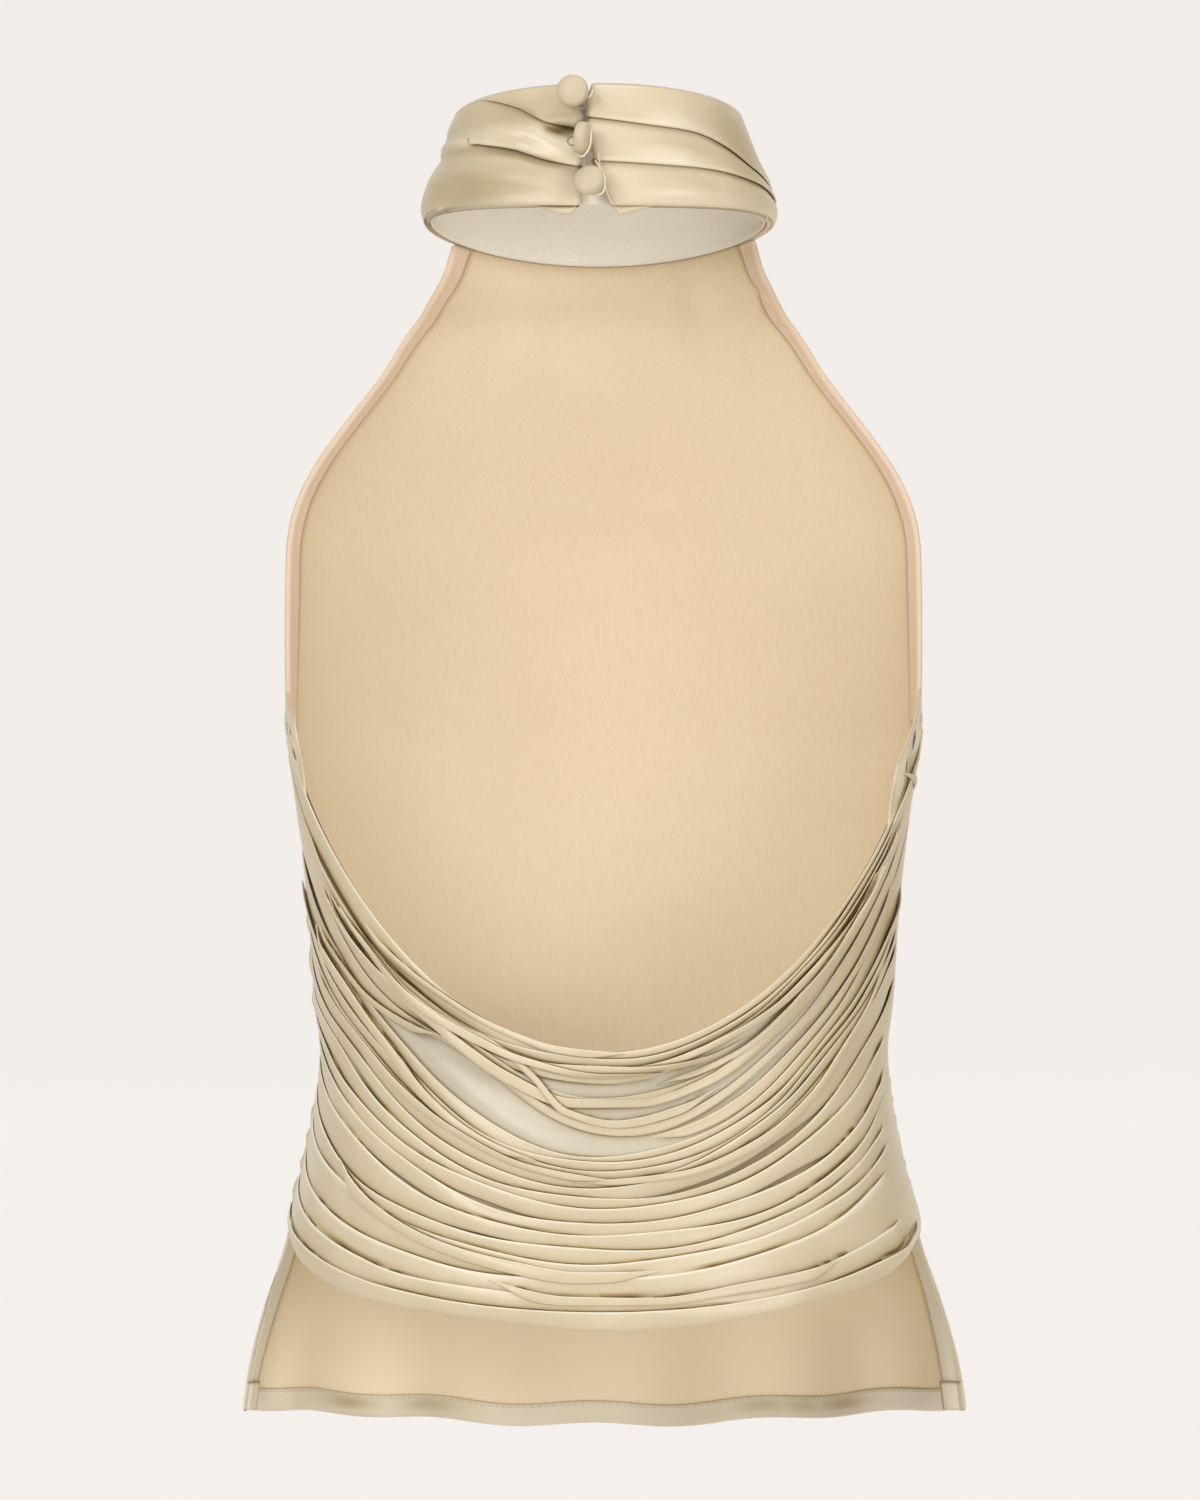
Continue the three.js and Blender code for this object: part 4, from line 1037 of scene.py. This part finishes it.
# How far the straps have run together at each turn.
def mergeShare(index, turns):
    if index >= len(straps):
        return np.zeros_like(turns)
    uneven = merge["uneven"] * math.sin(2.1 * index)
    right = np.interp(index, merge["index"], merge["right"]) + uneven
    left = np.interp(index, merge["index"], merge["left"]) + uneven
    return np.maximum(smooth(turns, right, right + merge["over"]), smooth(-turns, left, left + merge["over"]))


# How dark the painted shade in the gap above a strap is where it stands clear of the one before.
def gapShare(index, turns, above):
    dark = np.zeros(above.shape)
    for at, first, last, reach in strapGaps:
        share = np.clip((turns - first) / (last - first), 0, 1)
        swell = np.sin(math.pi * share)
        if at == index:
            dark = np.maximum(dark, np.exp(-(above / (reach * swell + 0.05)) ** 2) * np.minimum(1, 3 * swell))
    return dark


# How deep the painted shade line above a strap is along its length: it fades where the strap clings.
def lineDepth(index, turns):
    path = allStraps[index].get("path", ((-99, 0), (99, 0)))
    fromEnd = np.minimum(turns - path[0][0], path[-1][0] - turns)
    wave = np.sin(turns / 14.0 + 2.3 * index) + 0.7 * np.sin(turns / 6.4 + 4.1 * index)
    calm = (1 - 0.8 * smooth(wave, 0.0, 1.3)) * (1 - 0.3 * smooth(turns, 45, 72))
    return calm * (1 - mergeShare(index, turns)) * smooth(fromEnd, 0, 7)


def spread(values, reach, how):
    padded = np.pad(values, reach, mode="edge")
    windows = np.lib.stride_tricks.sliding_window_view(padded, 2 * reach + 1)
    return how(windows, axis=1)


# Lays the straps on the cowl one after another: how far out each strap's two edges come to lie.
def stackStraps(turns, tops, heights):
    cells = round((strapLay["topZ"] - strapLay["bottomZ"]) / strapLay["cell"])
    covered = np.full((len(turns), cells), strapLay["cowlWall"] + strapLay["seat"])
    lays = []
    for index, strap in enumerate(allStraps):
        top, height = tops[index], heights[index]
        span = strapSpan(strap, turns)
        lower = np.zeros(len(turns))
        upper = np.zeros(len(turns))
        first = np.floor((strapLay["topZ"] - top) / strapLay["cell"]).astype(int)
        last = np.ceil((strapLay["topZ"] - top + height) / strapLay["cell"]).astype(int)
        for i in span:
            cell = np.arange(first[i], last[i] + 1)
            share = (last[i] - cell) / (last[i] - first[i])
            under = covered[i, cell]
            low = share < strapLay["restShare"]
            lower[i] = under[low].max()
            upper[i] = max(lower[i], (lower[i] + (under[~low] - lower[i]) / share[~low]).max())
        part = slice(span[0], span[-1] + 1)
        lower[part] = spread(spread(lower[part], 3, np.max), 4, np.mean)
        upper[part] = spread(spread(upper[part], 3, np.max), 4, np.mean)
        joined = mergeShare(index, turns)
        level = merge["level"] + merge["step"] * index
        lower, upper = mix(lower, level, joined), mix(upper, level, joined)
        for i in span:
            cell = np.arange(first[i] - 1, last[i] + 2)
            share = np.clip((last[i] - cell) / (last[i] - first[i]), 0, 1)
            cover = mix(lower[i], upper[i], share) + strapLay["wall"] + strapLay["gap"]
            covered[i, cell] = np.maximum(covered[i, cell], cover)
        lays.append((lower, upper))
    return lays


# Round a strap's section: the share of its height and of its thickness.
def strapSection(steps):
    angles = np.linspace(0, 2 * math.pi, steps, endpoint=False)
    flat = np.sign(np.cos(angles)) * np.abs(np.cos(angles)) ** 0.75
    thick = np.sign(np.sin(angles)) * np.abs(np.sin(angles)) ** 0.5
    return (flat + 1) / 2, (thick + 1) / 2


def buildStraps():
    turns = np.linspace(-90, 90, strapLay["columns"] + 1)
    tops = strapTops(turns)
    heights = strapHeights(turns, tops)
    lays = stackStraps(turns, tops, heights)
    share, thick = strapSection(30)
    runs = [np.gradient(backPoint(turns, top, 0), axis=0) for top in tops]
    steepness = [np.linalg.norm(run, axis=-1) / np.hypot(run[:, 0], run[:, 1]) for run in runs]
    pieces = []
    for index, strap in enumerate(allStraps):
        span = strapSpan(strap, turns)
        turn = turns[span][:, None]
        top, height = tops[index][span][:, None], heights[index][span][:, None]
        lower, upper = lays[index][0][span][:, None], lays[index][1][span][:, None]
        joined = mergeShare(index, turns)[span][:, None]
        crown = strapLay["crown"] * 4 * share * (1 - share) * np.minimum(height / 7, 1)
        crown = crown * (0.75 + 0.35 * np.sin(turn / 7.0 + 1.3 * index)) * (1 - joined)
        out = mix(lower, upper, share) + thick * strapLay["wall"] + crown
        if "path" in strap:
            fromEnd = np.minimum(turn - turn[0], turn[-1] - turn)
            out = out - 1.1 * strapLay["wall"] * (1 - smooth(fromEnd, 0, 6))
        z = top - height * (1 - share)
        sections = backPoint(turn, z, out)
        # Painted shade: dark lines above each later strap's upper edge, dark gaps, and darker lower parts,
        # bundles and right side
        shade = np.zeros(z.shape)
        for later in range(index + 1, len(allStraps)):
            above = z - tops[later][span][:, None]
            active = np.isin(span, strapSpan(allStraps[later], turns))[:, None]
            above = (np.maximum(above, 0) + 9 * (above < -0.6)) / steepness[later][span][:, None]
            soft = strapTone["soft"] * np.exp(-above / strapTone["softReach"]) * smooth(height, 3, 8)
            line = np.exp(-above / strapTone["creaseReach"]) + soft
            line = strapTone["crease"] * line * lineDepth(later, turns)[span][:, None]
            gap = strapTone["gap"] * gapShare(later, turn, above)
            shade = np.maximum(shade, np.maximum(line, gap) * active)
        bundled = smooth(np.abs(turn + 4), 18, 50) * smooth(z, -440, -350)
        body = strapTone["lowEdge"] * (1 - share) * (1 - joined) + strapTone["bundle"] * bundled
        body = body + strapTone["right"] * smooth(turn, 30, 80)
        lowDown = smooth(z, -400, -445)
        atSeam = smooth(np.abs(turn), mix(79, 64, lowDown), mix(89, 80, lowDown))
        atSeam = 1 - strapTone["seamFade"] * atSeam
        shade = np.clip(shade + body, 0, strapTone["darkest"]) * (thick > 0.3) * atSeam
        # Painted highlight along each strap's upper edge, dimmer in the bundles
        edge = smooth(share, 0.88, 1.0) * (thick > 0.3) * (1 - joined)
        edge = edge * (1 - strapTone["bundleGlint"] * bundled)
        piece = clothStrip(strap["name"] + "_satin", sections, [strapFinish], shade, edge)
        if index < len(straps):
            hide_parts(strap["name"])
        pieces.append(piece)
    return pieces, turns, tops, heights


def backCowl(turns, tops, heights):
    rows, lap = 150, 1.5
    share = np.linspace(0, 1, rows + 1)[:, None]
    last = len(straps) - 1
    z = mix(tops[0] - lap, tops[last] - heights[last] + lap, share)
    under = z - tops[6]
    swags = 0.42 * np.sin(under / 2.6 + 0.02 * turns) + 0.3 * np.sin(under / 4.7 + turns / 16.0)
    swags = np.clip(swags, -0.6, 0.35) * np.cos(np.radians(turns)) ** 0.5
    inner = backPoint(turns, z, np.zeros_like(swags))
    outer = backPoint(turns, z, strapLay["cowlWall"] + swags)
    # Painted shade on the cowl beside each strap's edges, and all over it but in the opening between the
    # straps
    shade = np.zeros_like(swags)
    for index, strap in enumerate(allStraps):
        span = strapSpan(strap, turns)
        depth = lineDepth(index, turns)[span]
        for far, fade in ((tops[index] - heights[index] - z, 1.1), (z - tops[index], 0.6)):
            far = far[:, span]
            line = strapTone["cowlCrease"] * depth * np.exp(-np.maximum(far, 0) / fade) * (far > -4)
            shade[:, span] = np.maximum(shade[:, span], line)
    inOpening = smooth(z, tops[6] - 4, tops[6] - 2) * smooth(z, tops[3] + 2, tops[3])
    shade = np.maximum(shade, strapTone["cowlCovered"] * (1 - inOpening))
    return clothWall("back_cowl_satin", inner, outer, [cowlFinish], shade)


# The satin gusset over the top strap at each side seam, with small holes between its folds painted in as dark
# shade.
gussets = (
    {"name": "side_gusset_left", "outer": -90, "inner": -76, "topOuter": -231, "topInner": -243, "lap": 2,
     "paintedHoles": ((-84, -247, 0.9, 3.6), (-79, -258, 0.7, 3.2))},
    {"name": "side_gusset_right", "outer": 90, "inner": 70, "topOuter": -229, "topInner": -262, "lap": 2,
     "paintedHoles": ((79, -252, 0.8, 4.6), (76, -264, 0.8, 3.8))},
)
gussetLift, gussetWall = 0.9, 1.0


def sideGusset(gusset):
    across = np.linspace(0, 1, 41)[None, :]
    down = np.linspace(0, 1, 61)[:, None]
    turn = mix(gusset["outer"], gusset["inner"], across)
    top = mix(gusset["topOuter"], gusset["topInner"], across ** 1.6)
    low = np.minimum(swagTop(straps[0], turn) - gusset["lap"], top - 1)
    z = mix(top, low, down)
    folds = 0.5 * np.sin(across * 15 + down * 4) * np.sin(math.pi * down)
    inner = backPoint(turn, z, gussetLift + folds)
    outer = backPoint(turn, z, gussetLift + gussetWall + folds)
    # Painted shade under the gusset's top edge, in its fold troughs and over the painted holes
    shade = 0.25 * np.exp(-down / 0.06) + 0.18 * np.maximum(-folds, 0) / 0.5
    for holeTurn, holeZ, halfTurn, halfHeight in gusset["paintedHoles"]:
        far = ((turn - holeTurn + 0.12 * (z - holeZ)) / halfTurn) ** 2 + ((z - holeZ) / halfHeight) ** 2
        shade = np.maximum(shade, 0.95 * (1 - smooth(far, 0.7, 1.3)))
    return clothWall(gusset["name"] + "_satin", inner, outer, [satinFinish], shade)


strapPieces, strapTurns, strapTopLines, strapHeightLines = buildStraps()
for gusset in gussets:
    piece = sideGusset(gusset)
    strapPieces.append(piece)
cowl = backCowl(strapTurns, strapTopLines, strapHeightLines)
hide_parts("back_cowl")
print("straps and cowl made:", len(strapPieces))


# Buttons covered in the same satin
button = {
    "radius": 7.2, "thickness": 7.0, "corners": 40,
    "domes": ((1, ((1.4, 1.0), (1.9, 0.7), (2.0, 0.25))), (-1, ((1.2, 0.8), (1.8, 0.25)))),
}
buttons = (
    {"name": "top", "x": -13.8, "y": -58.5, "z": 35.3, "turn": -14, "tip": 8},
    {"name": "middle", "x": -9.2, "y": -65.2, "z": 14.0, "turn": 72, "tip": -4},
    {"name": "bottom", "x": -6.4, "y": -67.2, "z": -5.0, "turn": -18, "tip": 30},
)


def selectFaces(obj, wanted):
    bpy.ops.object.mode_set(mode="OBJECT")
    for polygon in obj.data.polygons:
        polygon.select = wanted(polygon)
    for item in list(obj.data.edges) + list(obj.data.vertices):
        item.select = False
    for polygon in obj.data.polygons:
        if polygon.select:
            for i in polygon.vertices:
                obj.data.vertices[i].select = True
    bpy.ops.object.mode_set(mode="EDIT")
    bpy.ops.mesh.select_mode(type="FACE")


def coveredButton(place):
    deselectAll()
    half = button["thickness"] / 2
    bpy.ops.mesh.primitive_cylinder_add(
        vertices=button["corners"], radius=button["radius"] * mm, depth=half * mm, location=(0, 0, 0))
    obj = bpy.context.object
    obj.name = f"button_{place['name']}_cover"
    bpy.ops.object.mode_set(mode="EDIT")
    for sign, rises in button["domes"]:
        selectFaces(obj, lambda face: face.normal.z * sign > 0.9)
        for inset, rise in rises:
            bpy.ops.mesh.inset(thickness=inset * mm)
            bpy.ops.transform.translate(value=(0, 0, sign * rise * mm))
    bpy.ops.object.mode_set(mode="OBJECT")
    modifier = obj.modifiers.new("roundness", "SUBSURF")
    modifier.levels = 2
    modifier.render_levels = 2
    bpy.ops.object.modifier_apply(modifier=modifier.name)
    spin = Euler((math.radians(-place["tip"]), 0, math.radians(place["turn"])), "XYZ").to_matrix().to_4x4()
    lie = Matrix.Rotation(math.radians(90), 4, "X")
    move = Matrix.Translation(Vector((place["x"], place["y"], place["z"])) * mm)
    obj.data.transform(move @ spin @ lie)
    obj.data.materials.append(buttonFinish)
    obj.data.shade_smooth()
    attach(obj, "root")
    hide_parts(f"button_{place['name']}")


for place in buttons:
    coveredButton(place)


# A thread that runs through a few spots, in millimetres.
def threadTube(name, radius, spots):
    spots = np.array(spots, float)
    places = np.linspace(0, 1, len(spots))
    at = np.linspace(0, 1, 8 * len(spots))
    line = np.stack([curveThrough(places, spots[:, axis])(at) for axis in range(3)], axis=-1)
    along = unit(np.gradient(line, axis=0))
    side = unit(np.cross(along, (0, 1, 0.01)))
    rise = np.cross(side, along)
    around = np.linspace(0, 2 * math.pi, 8, endpoint=False)[None, :, None]
    ring = side[:, None, :] * np.cos(around) + rise[:, None, :] * np.sin(around)
    sections = line[:, None, :] + ring * radius
    clothStrip(name, sections, [threadFinish])


threads = (
    ("loop_thread_top", 0.42, (
        (-9, -56, 33), (-6.6, -59, 32.4), (-5.4, -60, 33.5), (-4.8, -58.5, 35.5))),
    ("loop_thread_middle", 0.42, (
        (-6.4, -62, 20.5), (-5.6, -66, 17), (-5.7, -68.5, 12), (-7.2, -69, 7.4), (-9.6, -68.2, 5.4),
        (-12, -65, 6.6))),
    ("loop_thread_bottom", 0.42, (
        (-3.6, -62, 4), (-1.4, -67, 0), (0.6, -69.5, -5), (0.2, -69.5, -9.5), (-2.2, -69, -11.6),
        (-5, -67, -11.4))),
    ("edge_thread", 0.34, (
        (-2.4, -60, 8), (-1.6, -61, 1), (0.4, -61, -6), (1.8, -60.5, -11), (4.2, -59.5, -15.5))),
)
for thread in threads:
    threadTube(*thread)

deselectAll()
ringCut = {"radius": 2.3, "thick": 0.42, "place": (-13.6, -64.5, 12.6), "lean": 62}
bpy.ops.mesh.primitive_torus_add(
    major_segments=32, minor_segments=10, major_radius=ringCut["radius"] * mm,
    minor_radius=ringCut["thick"] * mm, location=(0, 0, 0))
ring = bpy.context.object
ring.name = "button_ring"
ringMove = Matrix.Translation(Vector(ringCut["place"]) * mm)
ring.data.transform(ringMove @ Matrix.Rotation(math.radians(ringCut["lean"]), 4, "X"))
ring.data.materials.append(ringFinish)
ring.data.shade_smooth()
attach(ring, "root")
for name in ("shank_top", "shank_middle", "shank_bottom", "loop_top", "loop_middle", "loop_bottom"):
    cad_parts[name].data.materials.clear()
    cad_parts[name].data.materials.append(threadFinish)
print("buttons made")


# Floor, backdrop, light and camera
def paleFinish(name, code):
    material, tree, shader, coords = newMaterial(name)
    drift = scaledNoise(tree, coords.outputs["Object"], (1, 1, 1), 900)
    glow = mixNode(tree, drift, colour(code), colour(code + 0x010101))
    tree.links.new(mixNode(tree, drift, colour(0x2C2B29), colour(0x2E2D2B)), shader.inputs["Base Color"])
    tree.links.new(glow, shader.inputs["Emission Color"])
    shader.inputs["Emission Strength"].default_value = 0.97
    shader.inputs["Roughness"].default_value = 0.9
    shader.inputs["Specular IOR Level"].default_value = 0.1
    return material


# The backdrop in metres: a floor that bends up into a wall.
sweep = {
    "floorZ": -0.66, "nearY": -5.4, "backY": 6.2, "bend": 1.2, "topZ": 4.6, "halfWidth": 6.2, "steps": 12,
}


def paleSweep():
    floorZ, backY, bend = sweep["floorZ"], sweep["backY"], sweep["bend"]
    profile = [(sweep["nearY"], floorZ)]
    for i in range(sweep["steps"] + 1):
        angle = math.radians(90 * i / sweep["steps"])
        profile.append((backY - bend + bend * math.sin(angle), floorZ + bend - bend * math.cos(angle)))
    profile.append((backY, sweep["topZ"]))
    points = [(x, y, z) for y, z in profile for x in (-sweep["halfWidth"], sweep["halfWidth"])]
    faces = [[2 * i, 2 * i + 1, 2 * i + 3, 2 * i + 2] for i in range(len(profile) - 1)]
    mesh = bpy.data.meshes.new("pale_sweep")
    mesh.from_pydata(points, [], faces)
    mesh.materials.append(paleFinish("paleFloor", 0xF3EEE9))
    mesh.shade_smooth()
    linked("pale_sweep", mesh)


def softLight(name, place, aim, size, power, tone):
    data = bpy.data.lights.new(name, "AREA")
    data.shape = "SQUARE"
    data.size = size
    data.energy = power
    data.color = tone
    obj = linked(name, data)
    obj.location = place
    obj.rotation_euler = (Vector(aim) - Vector(place)).to_track_quat("-Z", "Y").to_euler()


paleSweep()
# Each light: its place, the height that it looks at, its size and its power
softLights = {
    "leftPanel": ((-1.5, -2.3, 0.9), -0.25, 1.1, 36),
    "rightPanel": ((1.7, -2.5, -0.1), -0.25, 1.2, 26),
    "topPanel": ((0.2, -0.6, 1.7), -0.15, 1.1, 14),
    "lowPanel": ((-0.3, -2.5, -1.15), -0.55, 1.5, 15),
}
lightTone = (1.0, 0.995, 0.99)
for name, (place, aimZ, size, power) in softLights.items():
    softLight(name, place, (0, 0, aimZ), size, power, lightTone)
world = bpy.data.worlds.new("studio")
world.use_nodes = True
world.node_tree.nodes["Background"].inputs["Color"].default_value = (1.0, 0.995, 0.985, 1)
world.node_tree.nodes["Background"].inputs["Strength"].default_value = 0.36
bpy.context.scene.world = world

view = {"distance": 3.5, "x": -0.0016, "z": -0.2565, "frameHeight": 0.675, "film": 36}
camera = bpy.data.cameras.new("camera")
camera.sensor_width = view["film"]
camera.lens = view["film"] * view["distance"] / view["frameHeight"]
camera.clip_end = 50
cameraObject = linked("camera", camera)
cameraObject.location = (view["x"], -view["distance"], view["z"])
cameraObject.rotation_euler = (math.radians(90), 0, 0)
bpy.context.scene.camera = cameraObject
bpy.context.scene.view_settings.view_transform = "Standard"
print("stage set")
